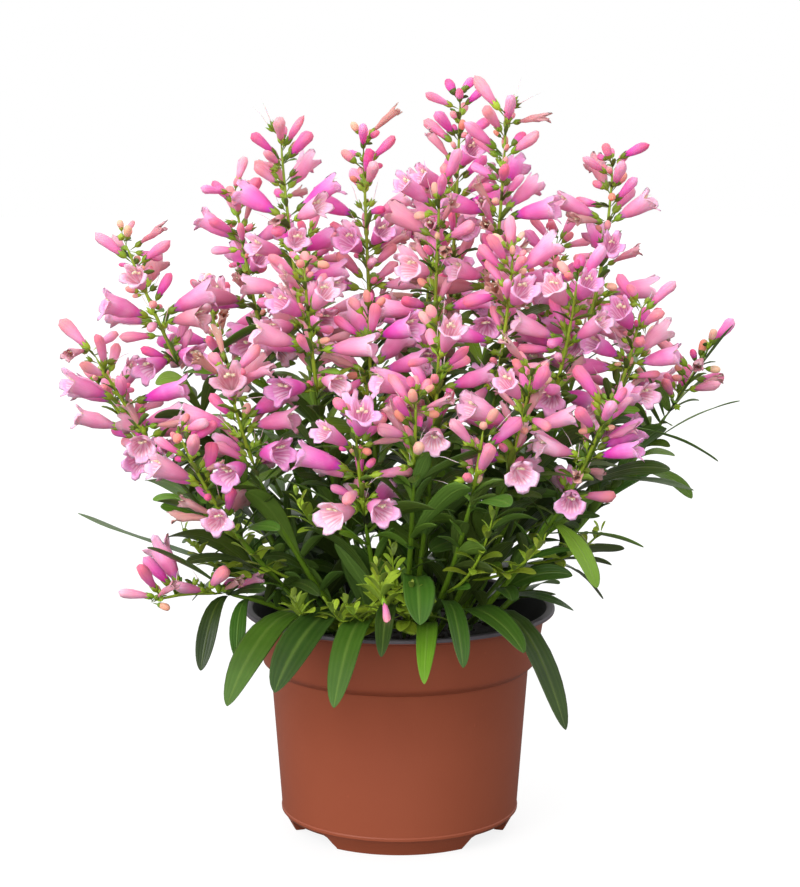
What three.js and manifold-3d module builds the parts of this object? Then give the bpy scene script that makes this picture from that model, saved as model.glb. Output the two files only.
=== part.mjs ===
// Potted beardlip penstemon: a plastic nursery pot, its soil, and a bush of leafy stems
// that each end in a spray of tubular flowers.
// Millimetres, +Z up, origin at the centre of the pot's foot, -Y is the front.
import * as THREE from 'three';
import { mergeVertices } from 'three/addons/utils/BufferGeometryUtils.js';
import Module from 'manifold-3d';

const wasm = await Module();
wasm.setup();

// Clear space left between two pieces that touch
const CLEARANCE = 0.3;

// Pot: radii and heights of its outer profile, from the foot up
const POT_SIDES = 24;
const FOOT_RADIUS = 60;
const FOOT_INNER_RADIUS = 54.5;
const FOOT_HEIGHT = 8.4;
const BODY_FOOT_RADIUS = 64.8;
const BODY_TOP_RADIUS = 70.8;
const BODY_TOP = 90;
const COLLAR_BOTTOM = 94.5;
const COLLAR_BOTTOM_RADIUS = 75.2;
const COLLAR_TOP = 119.4;
const COLLAR_TOP_RADIUS = 79.6;
const RIM_RADIUS = 85;
const RIM_TOP = 123;
const RIM_INNER_RADIUS = 80.4;
const RIM_UNDERSIDE = 120.2;
const WALL = 1.8;
const FLOOR_TOP = 11;
const ARCH_ANGLES = [37, 143, 217, 323];
const ARCH_FOOT_WIDTH = 40;
const ARCH_TOP_WIDTH = 30;
const ARCH_HEIGHT = 7.4;
const ARCH_DEPTH = 30;
const DRAIN_RADIUS = 4.5;
const DRAIN_RING = 40;
const DRAIN_COUNT = 4;
const DRAIN_SIDES = 6;
const DRAIN_DEPTH = 12;
const SMALL_ROUND = 1;

// Soil: a plug that fills the pot to a little under the rim, with a hole for each stem
const SOIL_TOP = 109;
const SOIL_EDGE_TOP = 106;
const SOIL_FLAT_RADIUS = 58;
const HOLE_DEPTH = 9;

// Stems
const CROWN_SHARE = 0.27;
const STEM_SIDES = 4;
const STEM_CLEAR_FOOT = 10;
const STEM_STEP = 45;
const STEM_STEPS_AT_LEAST = 6;
const STEM_FOOT_RADIUS = 1.9;
const STEM_TOP_RADIUS = 1.25;
const RACHIS_SIDES = 3;
const RACHIS_STEP = 36;
const RACHIS_FOOT_RADIUS = 1.3;
const RACHIS_TIP_RADIUS = 0.75;
const CURVE_STEPS = 48;

// Sprays: the lowest flowers open well above the leaves
const BUD_STEM_SPRAY = 42;
const SPRAY_FLOOR = 200;
const SPRAY_SHARE = 0.62;
const SPRAY_SHORTEST = 60;
const WHORL_PITCH = 17;
const CROWDING = 1.3;
const PAIR_CHANCE = 0.45;
const ROOT_SPACING = 1.7;
const YOUNG_CHANCE = 0.55;

// Flowers and buds, along their own axis from the stem that bears them
const LOBES = 5;
const TUBE_SIDES = 3;
const TUBE_REACH = 17;
const TUBE_RADIUS = 5;
const NOTCH_REACH = 28;
const NOTCH_RADIUS = 4.6;
const UPPER_LOBE_REACH = 32;
const UPPER_LOBE_RADIUS = 5.8;
const LOWER_LOBE_REACH = 31;
const LOWER_LOBE_RADIUS = 7.8;
const THROAT_REACH = 21;
const BUD_REACH = 26;
const BUD_RADIUS = 3.3;
const YOUNG_BUD_REACH = 16;
const YOUNG_BUD_RADIUS = 2.7;
const BUD_SIDES = 3;
const BUD_BELLY = 0.72;
const BLOOM_ROOT = 0.2;

// Leaves
const LEAF_PITCH = 43;
const LEAF_START = 12;
const LEAF_STOP = 6;
const LEAF_TRIES = 6;
const LOW_LEAF_REACH = 78;
const HIGH_LEAF_REACH = 40;
const LOW_LEAF_WIDTH = 14;
const HIGH_LEAF_WIDTH = 7;
const SHORT_LEAF = 76;
const SHORT_LEAF_STATIONS = [0.3, 0.7];
const LONG_LEAF_STATIONS = [0.2, 0.48, 0.78];
const KEEL = 1.3;
const LEAF_ROOT = 0.6;

// Room that neighbours keep from each other
const AIR = 0.35;
const LEAF_PAD = 0.9;
const CELL = 12;
const TRIES = 12;
const LAST_OPEN_TRY = 7;

// Balls that stand for a bloom while room is sought: how they follow its axis and widen along it
const FLOWER_BALLS = { step: 4, stop: 24, widening: 0.26, least: 1.2, most: 5.9, rooted: 9 };
const BUD_BALLS = { step: 3.3, stop: 24, widening: 0.2, least: 1.3, most: 3.9, rooted: 7 };
const YOUNG_BUD_BALLS = { ...BUD_BALLS, stop: 14 };
const FIRST_BALL = 4;
const MOUTH_BALL = 5.1;
const LOBE_BALL = 2.5;
const LOBE_BALL_REACH = 29.8;
const UPPER_LOBE_BALL_RADIUS = 4.8;
const LOWER_LOBE_BALL_RADIUS = 5.9;
const KIN_OVERLAP = 0.4;

// Edges that a join leaves shorter than this are closed up
const SHORTEST_EDGE = 0.004;

const LEAF_GREEN = new THREE.MeshStandardMaterial({ color: 0x4d6f2b, roughness: 0.55, metalness: 0 });
const SPRAY_PINK = new THREE.MeshStandardMaterial({ color: 0xe277b8, roughness: 0.6, metalness: 0 });
const POT_BROWN = new THREE.MeshStandardMaterial({ color: 0x9c4f38, roughness: 0.45, metalness: 0 });
const SOIL_DARK = new THREE.MeshStandardMaterial({ color: 0x1d1815, roughness: 0.95, metalness: 0 });

// Flowering stems: the tip of each, and how upright it ends, 0 for straight and 1 for upright
const FLOWERING_STEMS = [
  { name: 'a', tip: [33, 25, 400], bend: 0.7 },
  { name: 'b', tip: [56, -14, 392], bend: 0.8 },
  { name: 'c', tip: [114, 4, 364], bend: 0.9 },
  { name: 'd', tip: [-64, 14, 377], bend: 0.6 },
  { name: 'e', tip: [-20, 44, 375], bend: 0.5 },
  { name: 'f', tip: [-147, -10, 325], bend: 0.25 },
  { name: 'g', tip: [21, -24, 354], bend: 0.6 },
  { name: 'h', tip: [-92, 52, 346], bend: 0.5 },
  { name: 'i', tip: [-158, -56, 269], bend: 0.3 },
  { name: 'j', tip: [-170, 42, 242], bend: 0.3 },
  { name: 'k', tip: [126, -40, 292], bend: 0.7 },
  { name: 'm', tip: [91, -56, 307], bend: 0.7 },
  { name: 'n', tip: [65, -104, 264], bend: 0.6 },
  { name: 'o', tip: [-48, -72, 315], bend: 0.7 },
  { name: 'p', tip: [-16, -58, 289], bend: 0.6 },
  { name: 'r', tip: [20, -96, 285], bend: 0.6 },
  { name: 'u', tip: [-22, -116, 242], bend: 0.5 },
  { name: 'v', tip: [-87, -86, 264], bend: 0.6 },
  { name: 'x', tip: [-110, -94, 232], bend: 0.5 },
  { name: 'w', tip: [58, -56, 322], bend: 0.7 },
  { name: 'y', tip: [104, -100, 248], bend: 0.5 },
  { name: 'z', tip: [88, 44, 324], bend: 0.7 },
  { name: 'back_1', tip: [-114, 104, 288], bend: 0.4 },
  { name: 'back_2', tip: [-54, 112, 320], bend: 0.5 },
  { name: 'back_3', tip: [18, 110, 326], bend: 0.5 },
  { name: 'back_4', tip: [80, 112, 294], bend: 0.4 },
  { name: 'back_5', tip: [142, 80, 264], bend: 0.4 },
];

// Stems with no open flower, each in one piece with its buds: youth is how far those are from opening
const BUD_STEMS = [
  { name: 'right', tip: [170, 10, 266], bend: 0.3, youth: 0.85 },
  { name: 'low_left', tip: [-130, -64, 138], bend: 0.1, rise: 26, youth: 0.62 },
  { name: 'front', tip: [8, -120, 253], bend: 0.6, youth: 0.85 },
  { name: 'front_right', tip: [41, -118, 239], bend: 0.6, youth: 0.8 },
];

// Large leaves that give the bush its skirt: the stem that bears each, how far up its leafy part,
// the leaf's tip, the rise of its arch and its width. The other leaves follow a rule.
const SKIRT_LEAVES = [
  { stem: 'x', share: 0.13, tip: [-85, -126, 100], rise: 27, width: 15 },
  { stem: 'o', share: 0.05, tip: [-61, -134, 109], rise: 25, width: 16 },
  { stem: 'u', share: 0.1, tip: [-32, -140, 103], rise: 26, width: 12 },
  { stem: 'front', share: 0.24, tip: [-9, -134, 127], rise: 14, width: 10 },
  { stem: 'front', share: 0.4, tip: [10, -130, 142], rise: 14, width: 13 },
  { stem: 'front_right', share: 0.07, tip: [12, -140, 115], rise: 18, width: 10 },
  { stem: 'front_right', share: 0.25, tip: [31, -140, 123], rise: 20, width: 11 },
  { stem: 'n', share: 0.12, tip: [61, -126, 127], rise: 16, width: 15 },
  { stem: 'y', share: 0.08, tip: [83, -116, 85], rise: 36, width: 13 },
  { stem: 'm', share: 0.06, tip: [92, -46, 130], rise: 13, width: 12 },
  { stem: 'k', share: 0.3, tip: [113, -34, 152], rise: 6, width: 13 },
  { stem: 'k', share: 0.95, tip: [168, -36, 208], rise: 5, width: 10 },
  { stem: 'k', share: 0.72, tip: [156, -32, 192], rise: 4, width: 10 },
  { stem: 'right', share: 0.84, tip: [184, -2, 236], rise: 4, width: 8 },
  { stem: 'right', share: 0.72, tip: [156, -24, 186], rise: 8, width: 8 },
  { stem: 'right', share: 0.97, tip: [180, 6, 276], rise: 2, width: 5 },
  { stem: 'y', share: 0.88, tip: [98, -110, 156], rise: 6, width: 12 },
  { stem: 'y', share: 0.8, tip: [126, -66, 168], rise: 4, width: 8 },
  { stem: 'i', share: 0.36, tip: [-172, -22, 178], rise: -3, width: 14 },
  { stem: 'low_left', share: 0.97, tip: [-102, -80, 106], rise: 12, width: 8 },
  { stem: 'low_left', share: 0.8, tip: [-84, -76, 112], rise: 10, width: 7 },
  { stem: 'low_left', share: 0.9, tip: [-130, -66, 168], rise: 3, width: 8 },
  { stem: 'back_1', share: 0.06, tip: [-92, 112, 104], rise: 26, width: 14 },
  { stem: 'back_2', share: 0.08, tip: [-40, 140, 98], rise: 27, width: 14 },
  { stem: 'back_3', share: 0.07, tip: [22, 145, 100], rise: 26, width: 15 },
  { stem: 'back_4', share: 0.07, tip: [76, 118, 96], rise: 28, width: 14 },
  { stem: 'back_5', share: 0.1, tip: [118, 62, 112], rise: 24, width: 13 },
  { stem: 'j', share: 0.08, tip: [-118, 40, 116], rise: 20, width: 14 },
];

// Park and Miller's generator, so that every run grows the same plant
class Draw {
  constructor(seed) {
    this.state = seed;
  }

  next() {
    this.state = (this.state * 48271) % 2147483647;
    return this.state / 2147483647;
  }

  between(low, high) {
    return low + (high - low) * this.next();
  }
}

const vector = (x, y, z) => new THREE.Vector3(x, y, z);
const radians = THREE.MathUtils.degToRad;
const mix = THREE.MathUtils.lerp;

function aim(azimuth, elevation) {
  const flat = Math.cos(radians(elevation));
  return vector(
    flat * Math.cos(radians(azimuth)),
    flat * Math.sin(radians(azimuth)),
    Math.sin(radians(elevation)),
  );
}

// A curved stem or leaf spine: a parabola between two points, measured along its length
class Curve {
  constructor(start, control, end) {
    this.points = [];
    this.lengths = [0];
    for (let i = 0; i <= CURVE_STEPS; i += 1) {
      const t = i / CURVE_STEPS;
      const point = start.clone().multiplyScalar((1 - t) * (1 - t));
      point.addScaledVector(control, 2 * t * (1 - t)).addScaledVector(end, t * t);
      this.points.push(point);
      if (i > 0) {
        this.lengths.push(this.lengths[i - 1] + point.distanceTo(this.points[i - 1]));
      }
    }
    this.length = this.lengths[CURVE_STEPS];
  }

  at(distance) {
    let i = 1;
    while (i < CURVE_STEPS && this.lengths[i] < distance) {
      i += 1;
    }
    const share = (distance - this.lengths[i - 1]) / (this.lengths[i] - this.lengths[i - 1]);
    return this.points[i - 1].clone().lerp(this.points[i], share);
  }

  direction(distance) {
    return this.at(distance + 1).sub(this.at(distance - 1)).normalize();
  }
}

// The space taken so far, as balls in a grid, so that nothing new grows through a neighbour
class Thicket {
  constructor() {
    this.cells = new Map();
  }

  key(i, j, k) {
    return `${i},${j},${k}`;
  }

  add(balls) {
    for (const ball of balls) {
      const key = this.key(
        Math.floor(ball.x / CELL),
        Math.floor(ball.y / CELL),
        Math.floor(ball.z / CELL),
      );
      if (!this.cells.has(key)) {
        this.cells.set(key, []);
      }
      this.cells.get(key).push(ball);
    }
  }

  meets(ball) {
    const [ci, cj, ck] = [ball.x, ball.y, ball.z].map((value) => Math.floor(value / CELL));
    for (let i = ci - 1; i <= ci + 1; i += 1) {
      for (let j = cj - 1; j <= cj + 1; j += 1) {
        for (let k = ck - 1; k <= ck + 1; k += 1) {
          for (const other of this.cells.get(this.key(i, j, k)) ?? []) {
            if (touches(ball, other)) {
              return other;
            }
          }
        }
      }
    }
    return null;
  }

  isFree(balls) {
    return balls.every((ball) => clearsPot(ball) && this.meets(ball) === null);
  }
}

// Above the rim and the soil, or well outside the rim
function clearsPot(ball) {
  const room = ball.r + AIR;
  const fromAxis = Math.hypot(ball.x, ball.y);
  if (fromAxis > RIM_RADIUS + room) {
    return true;
  }
  const inside = fromAxis < COLLAR_TOP_RADIUS - WALL - SMALL_ROUND - room;
  return ball.z > room + (inside ? SOIL_TOP : RIM_TOP) || ball.root;
}

function touches(ball, other) {
  const kin = ball.node === other.node;
  if (kin && (ball.root || other.root)) {
    return false;
  }
  const room = ball.r + other.r + (kin ? -KIN_OVERLAP : AIR);
  const dx = ball.x - other.x;
  const dy = ball.y - other.y;
  const dz = ball.z - other.z;
  return dx * dx + dy * dy + dz * dz < room * room;
}

function ballAt(point, r, node, root) {
  return { x: point.x, y: point.y, z: point.z, r, node, root };
}

// Layout of the plant

function stemCurve({ tip, bend, rise = 0 }) {
  const end = vector(...tip);
  const start = vector(end.x * CROWN_SHARE, end.y * CROWN_SHARE, SOIL_TOP);
  const control = start.clone().lerp(end, 0.5);
  control.x = mix(start.x, end.x, 0.5 + bend / 2);
  control.y = mix(start.y, end.y, 0.5 + bend / 2);
  control.z += rise;
  return new Curve(start, control, end);
}

function sprayLength(tip) {
  return Math.max(SPRAY_SHORTEST, SPRAY_SHARE * (tip[2] - SPRAY_FLOOR));
}

function evenly(start, end, pitch) {
  const count = Math.max(1, Math.round((end - start) / pitch));
  return Array.from({ length: count + 1 }, (_, i) => mix(start, end, i / count));
}

function tubeBalls(curve, from, to, radius, node) {
  return evenly(from, to, 3).map((s) => ballAt(curve.at(s), radius, node, true));
}

function frameOf(direction) {
  const side = vector(0, 0, 1).cross(direction).normalize();
  const up = direction.clone().cross(side);
  return { side, up };
}

function offAxis(bloom, reach, radius, degrees) {
  const { side, up } = frameOf(bloom.direction);
  return bloom.base
    .clone()
    .addScaledVector(bloom.direction, reach * bloom.size)
    .addScaledVector(side, radius * bloom.size * Math.cos(radians(degrees)))
    .addScaledVector(up, radius * bloom.size * Math.sin(radians(degrees)));
}

const lobeAngle = (i) => 54 + (i * 360) / LOBES;
const isUpperLobe = (i) => i < 2;

function axisBalls(bloom, node, { step, stop, widening, least, most, rooted }) {
  const balls = [];
  for (let reach = FIRST_BALL; reach <= stop; reach += step) {
    const radius = Math.min(widening * reach + least, most) * bloom.size;
    balls.push(ballAt(offAxis(bloom, reach, 0, 0), radius, node, reach < rooted));
  }
  return balls;
}

function flowerBalls(bloom, node) {
  const balls = axisBalls(bloom, node, FLOWER_BALLS);
  balls.push(ballAt(offAxis(bloom, NOTCH_REACH, 0, 0), MOUTH_BALL * bloom.size, node, false));
  for (let i = 0; i < LOBES; i += 1) {
    const out = isUpperLobe(i) ? UPPER_LOBE_BALL_RADIUS : LOWER_LOBE_BALL_RADIUS;
    const centre = offAxis(bloom, LOBE_BALL_REACH, out, lobeAngle(i));
    balls.push(ballAt(centre, LOBE_BALL * bloom.size, node, false));
  }
  return balls;
}

function budBalls(bloom, node) {
  return axisBalls(bloom, node, bloom.kind === 'young' ? YOUNG_BUD_BALLS : BUD_BALLS);
}

function bloomBalls(bloom, node) {
  return bloom.kind === 'open' ? flowerBalls(bloom, node) : budBalls(bloom, node);
}

// Low whorls are open, high ones are still in bud
function bloomKind(share, draw) {
  const age = share + draw.between(-0.2, 0.2);
  if (age > 0.9) {
    return 'young';
  }
  return age > 0.66 ? 'bud' : 'open';
}

function growBloom(thicket, spray, s, azimuth, share, draw) {
  const kind = bloomKind(share, draw);
  if (kind === 'young' && draw.next() > YOUNG_CHANCE) {
    return;
  }
  for (let attempt = 0; attempt < TRIES; attempt += 1) {
    const swing = 6 + 5 * attempt;
    const elevation = mix(2, 52, share) + draw.between(-swing, swing);
    const bloom = {
      kind: attempt > LAST_OPEN_TRY && kind === 'open' ? 'bud' : kind,
      base: spray.curve.at(s),
      direction: aim(azimuth + draw.between(-swing, swing), Math.min(elevation, 76)),
      size: draw.between(0.86, 1.06),
    };
    const balls = bloomBalls(bloom, spray.node);
    if (thicket.isFree(balls)) {
      thicket.add(balls);
      spray.blooms.push(bloom);
      return;
    }
  }
}

// Distances of the whorls along a spray, closer together towards its tip
function whorlStations(spray) {
  return evenly(0, spray.to - spray.from - 8, WHORL_PITCH).map((s, i, all) => {
    const left = 1 - i / (all.length - 1);
    return spray.from + 6 + (spray.to - spray.from - 12) * (1 - left ** CROWDING);
  });
}

function growSpray(thicket, spray, draw) {
  const whorls = whorlStations(spray);
  let azimuth = draw.between(0, 360);
  whorls.forEach((s, i) => {
    const share = mix(spray.youth, 1, i / (whorls.length - 1));
    azimuth += 90 + draw.between(-15, 15);
    for (const half of [0, 1]) {
      const toward = azimuth + 180 * half;
      const pair = draw.next() < PAIR_CHANCE;
      const spread = pair ? 27 : 0;
      const place = s + ROOT_SPACING * (half - 1);
      growBloom(thicket, spray, place, toward - spread, share, draw);
      if (pair) {
        growBloom(thicket, spray, place + 2 * ROOT_SPACING, toward + spread, share + 0.1, draw);
      }
    }
  });
}

function leafWidth(t) {
  return Math.sin(Math.PI * t ** 0.85) ** 0.75;
}

function leafSpine(leaf) {
  const control = leaf.base.clone().lerp(leaf.tip, 0.5);
  control.z += leaf.rise * 2;
  return new Curve(leaf.base, control, leaf.tip);
}

// Across the blade, which is level at no roll
function leafSide(leaf) {
  const along = leaf.tip.clone().sub(leaf.base).normalize();
  const level = along.clone().cross(vector(0, 0, 1)).normalize();
  return level.applyAxisAngle(along, radians(leaf.roll));
}

function leafBalls(leaf, node) {
  const spine = leafSpine(leaf);
  const side = leafSide(leaf);
  return evenly(6, spine.length - 1, 4.5).flatMap((s) => {
    const width = leaf.width * leafWidth(s / spine.length);
    return [-0.3, 0, 0.3].map((across) => {
      const point = spine.at(s).addScaledVector(side, across * width);
      return ballAt(point, 0.21 * width + LEAF_PAD, node, s < 12);
    });
  });
}

function growLeaf(thicket, stem, leaf) {
  const balls = leafBalls(leaf, stem.node);
  const free = thicket.isFree(balls);
  if (free) {
    thicket.add(balls);
    stem.leaves.push(leaf);
  }
  return free;
}

function growLeaves(thicket, stem, draw) {
  const nodes = evenly(stem.from + LEAF_START, stem.to - LEAF_STOP, LEAF_PITCH);
  let azimuth = draw.between(0, 360);
  nodes.forEach((s, i) => {
    const share = i / nodes.length;
    azimuth += 90 + draw.between(-12, 12);
    for (const half of [0, 180]) {
      for (let attempt = 0; attempt < LEAF_TRIES; attempt += 1) {
        const swing = 8 + 8 * attempt;
        const reach = mix(LOW_LEAF_REACH, HIGH_LEAF_REACH, share) * draw.between(0.8, 1.15);
        const toward = aim(azimuth + half + draw.between(-swing, swing), draw.between(8, 48));
        const base = stem.curve.at(s);
        const leaf = {
          base,
          tip: base.clone().addScaledVector(toward, reach),
          rise: reach * draw.between(0.06, 0.14),
          width: mix(LOW_LEAF_WIDTH, HIGH_LEAF_WIDTH, share) * draw.between(0.9, 1.15),
          roll: draw.between(-50, 50),
        };
        if (growLeaf(thicket, stem, leaf)) {
          break;
        }
      }
    }
  });
}

// A stem with its leafy part and its spray, which for a stem in bud are one piece
function newStem(spec, inBud) {
  const curve = stemCurve(spec);
  const split = curve.length - (inBud ? BUD_STEM_SPRAY : sprayLength(spec.tip));
  const node = inBud ? `bud_stem_${spec.name}` : `leafy_stem_${spec.name}`;
  return {
    name: spec.name,
    inBud,
    curve,
    stem: { node, curve, from: 0, to: split, leaves: [] },
    spray: {
      node: inBud ? node : `flower_spray_${spec.name}`,
      curve,
      from: split + CLEARANCE,
      to: curve.length,
      youth: inBud ? spec.youth : 0,
      blooms: [],
    },
  };
}

function skirtLeaf(stem, { share, tip, rise, width }) {
  return { base: stem.curve.at(share * stem.to), tip: vector(...tip), rise, width, roll: 0 };
}

function layOut() {
  const thicket = new Thicket();
  const stems = [
    ...FLOWERING_STEMS.map((spec) => newStem(spec, false)),
    ...BUD_STEMS.map((spec) => newStem(spec, true)),
  ];
  for (const { curve, stem, spray } of stems) {
    thicket.add(tubeBalls(curve, 0, stem.to, STEM_FOOT_RADIUS + 0.4, stem.node));
    thicket.add(tubeBalls(curve, spray.from + 2, curve.length, RACHIS_FOOT_RADIUS + 0.5, spray.node));
  }
  for (const spec of SKIRT_LEAVES) {
    const { stem } = stems.find(({ name }) => name === spec.stem);
    growLeaf(thicket, stem, skirtLeaf(stem, spec));
  }
  stems.forEach(({ spray }, i) => growSpray(thicket, spray, new Draw(101 + 7 * i)));
  stems.forEach(({ stem }, i) => growLeaves(thicket, stem, new Draw(5003 + 11 * i)));
  return stems;
}

// Solids

// Triangles between two rings of points that turn the same way, however many each ring has
function stitch(countA, countB, startA, startB) {
  const faces = [];
  let [i, j] = [0, 0];
  while (i < countA || j < countB) {
    const behind = (j + 0.5) / countB <= (i + 0.5) / countA;
    const alongB = j < countB && (i === countA || countA === 1 || behind);
    const a = startA + (i % countA);
    const b = startB + (j % countB);
    if (alongB && countB > 1) {
      faces.push([a, b, startB + ((j + 1) % countB)]);
    } else if (!alongB && countA > 1) {
      faces.push([a, b, startA + ((i + 1) % countA)]);
    }
    [i, j] = alongB ? [i, j + 1] : [i + 1, j];
  }
  return faces;
}

function cap(start, count) {
  return Array.from({ length: count - 2 }, (_, i) => [start, start + i + 1, start + i + 2]);
}

function signedVolume(points, faces) {
  return faces.reduce(
    (sum, [a, b, c]) => sum + points[a].dot(points[b].clone().cross(points[c])) / 6,
    0,
  );
}

// One closed surface through a row of rings, closed at each end
function skin(rings) {
  const points = rings.flat();
  const faces = [];
  let start = 0;
  for (let i = 0; i + 1 < rings.length; i += 1) {
    faces.push(...stitch(rings[i].length, rings[i + 1].length, start, start + rings[i].length));
    start += rings[i].length;
  }
  faces.push(...cap(0, rings[0].length), ...cap(start, rings.at(-1).length).map((f) => f.reverse()));
  const outward = signedVolume(points, faces) > 0;
  const geometry = new THREE.BufferGeometry().setFromPoints(points);
  geometry.setIndex(faces.flatMap((face) => (outward ? face : [...face].reverse())));
  return geometry;
}

function solidOf(geometry) {
  const bare = geometry.clone();
  bare.deleteAttribute('normal');
  bare.deleteAttribute('uv');
  const merged = mergeVertices(bare, 1e-4);
  return new wasm.Manifold(
    new wasm.Mesh({
      numProp: 3,
      vertProperties: Float32Array.from(merged.attributes.position.array),
      triVerts: Uint32Array.from(merged.index.array),
    }),
  );
}

// The one body that holds together, without loose scraps or sealed hollows
function largestBody(solid) {
  return solid.decompose().reduce((best, part) => (part.volume() > best.volume() ? part : best));
}

function fuse(solids) {
  return largestBody(solids.reduce((whole, part) => whole.add(part)));
}

// Closes up the edges that are too short to matter, and drops the triangles that fold flat with them
function weld(points, faces) {
  const target = points.map((_, i) => i);
  const root = (i) => (target[i] === i ? i : root(target[i]));
  for (const face of faces) {
    for (const [i, j] of [[0, 1], [1, 2], [2, 0]]) {
      const [p, q] = [root(face[i]), root(face[j])];
      if (p !== q && points[p].distanceTo(points[q]) < SHORTEST_EDGE) {
        target[Math.max(p, q)] = Math.min(p, q);
      }
    }
  }
  const kept = new Map();
  for (const face of faces) {
    const corners = face.map(root);
    if (new Set(corners).size === 3) {
      const key = [...corners].sort((p, q) => p - q).join();
      if (!kept.delete(key)) {
        kept.set(key, corners);
      }
    }
  }
  return [...kept.values()];
}

function meshOf(name, solid, material) {
  const { vertProperties, triVerts, numProp } = solid.getMesh();
  const points = [];
  for (let i = 0; i < vertProperties.length; i += numProp) {
    points.push(vector(vertProperties[i], vertProperties[i + 1], vertProperties[i + 2]));
  }
  const faces = [];
  for (let i = 0; i < triVerts.length; i += 3) {
    faces.push([triVerts[i], triVerts[i + 1], triVerts[i + 2]]);
  }
  const geometry = new THREE.BufferGeometry().setFromPoints(points);
  geometry.setIndex(weld(points, faces).flat());
  geometry.computeVertexNormals();
  const mesh = new THREE.Mesh(geometry, material);
  mesh.name = name;
  return mesh;
}

// Rings across a curve at the given distances, kept from twisting along it
function tubeRings(curve, stations, sides, radiusAt) {
  let side = vector(1, 0, 0);
  return stations.map((s) => {
    const tangent = curve.direction(s);
    side.addScaledVector(tangent, -side.dot(tangent)).normalize();
    const across = tangent.clone().cross(side);
    const centre = curve.at(s);
    return Array.from({ length: sides }, (_, i) => {
      const angle = (2 * Math.PI * (i + 0.5)) / sides;
      return centre
        .clone()
        .addScaledVector(side, radiusAt(s) * Math.cos(angle))
        .addScaledVector(across, radiusAt(s) * Math.sin(angle));
    });
  });
}

function rootRings(curve) {
  const foot = curve.at(0);
  return [-HOLE_DEPTH + CLEARANCE, 0.5].map((rise) =>
    Array.from({ length: STEM_SIDES }, (_, i) => {
      const angle = (2 * Math.PI * (i + 0.5)) / STEM_SIDES;
      return vector(
        foot.x + STEM_FOOT_RADIUS * Math.cos(angle),
        foot.y + STEM_FOOT_RADIUS * Math.sin(angle),
        SOIL_TOP + rise,
      );
    }),
  );
}

function leafSolid(leaf) {
  const spine = leafSpine(leaf);
  const side = leafSide(leaf);
  const stations = spine.length < SHORT_LEAF ? SHORT_LEAF_STATIONS : LONG_LEAF_STATIONS;
  const rings = stations.map((t) => {
    const s = t * spine.length;
    const half = (leaf.width * leafWidth(t)) / 2;
    const up = side.clone().cross(spine.direction(s));
    const centre = spine.at(s);
    return [
      centre.clone().addScaledVector(side, half),
      centre.clone().addScaledVector(side, -half),
      centre.clone().addScaledVector(up, -KEEL),
    ];
  });
  const foot = leaf.base.clone().addScaledVector(spine.direction(1), -LEAF_ROOT);
  return solidOf(skin([[foot], ...rings, [leaf.tip]]));
}

// The stem from its hole in the soil up to a height
function stemCore(stem, top) {
  const radiusAt = (s) => mix(STEM_FOOT_RADIUS, STEM_TOP_RADIUS, s / top);
  const step = Math.min(STEM_STEP, top / STEM_STEPS_AT_LEAST);
  const rings = tubeRings(stem.curve, evenly(STEM_CLEAR_FOOT, top, step), STEM_SIDES, radiusAt);
  return solidOf(skin([...rootRings(stem.curve), ...rings]));
}

function leafyStemSolid(stem) {
  return fuse([stemCore(stem, stem.to), ...stem.leaves.map(leafSolid)]);
}

function budStemSolid(stem, spray) {
  const core = stemCore(stem, spray.to);
  return fuse([core, ...stem.leaves.map(leafSolid), ...spray.blooms.map(bloomSolid)]);
}

// A bloom starts a little beyond the middle of its stem, so that the two hold well
function bloomFoot(bloom) {
  return [offAxis(bloom, -BLOOM_ROOT, 0, 0)];
}

function flowerSolid(bloom) {
  const lobes = Array.from({ length: LOBES }, (_, i) => lobeAngle(i));
  const corners = Array.from({ length: TUBE_SIDES }, (_, i) => 90 + (360 * i) / TUBE_SIDES);
  const tube = corners.map((angle) => offAxis(bloom, TUBE_REACH, TUBE_RADIUS, angle));
  const mouth = lobes.flatMap((angle, i) => {
    const reach = isUpperLobe(i) ? UPPER_LOBE_REACH : LOWER_LOBE_REACH;
    const radius = isUpperLobe(i) ? UPPER_LOBE_RADIUS : LOWER_LOBE_RADIUS;
    return [
      offAxis(bloom, reach, radius, angle),
      offAxis(bloom, NOTCH_REACH, NOTCH_RADIUS, angle + 180 / LOBES),
    ];
  });
  return solidOf(skin([bloomFoot(bloom), tube, mouth, [offAxis(bloom, THROAT_REACH, 0, 0)]]));
}

function budSolid(bloom) {
  const young = bloom.kind === 'young';
  const reach = young ? YOUNG_BUD_REACH : BUD_REACH;
  const radius = young ? YOUNG_BUD_RADIUS : BUD_RADIUS;
  const angles = Array.from({ length: BUD_SIDES }, (_, i) => 90 + (360 * i) / BUD_SIDES);
  const belly = angles.map((angle) => offAxis(bloom, reach * BUD_BELLY, radius, angle));
  return solidOf(skin([bloomFoot(bloom), belly, [offAxis(bloom, reach, 0, 0)]]));
}

function bloomSolid(bloom) {
  return bloom.kind === 'open' ? flowerSolid(bloom) : budSolid(bloom);
}

function spraySolid(spray) {
  const span = spray.to - spray.from;
  const radiusAt = (s) => mix(RACHIS_FOOT_RADIUS, RACHIS_TIP_RADIUS, (s - spray.from) / span);
  const stations = evenly(spray.from, spray.to, RACHIS_STEP);
  const rings = tubeRings(spray.curve, stations, RACHIS_SIDES, radiusAt);
  return fuse([solidOf(skin(rings)), ...spray.blooms.map(bloomSolid)]);
}

// Pot

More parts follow.
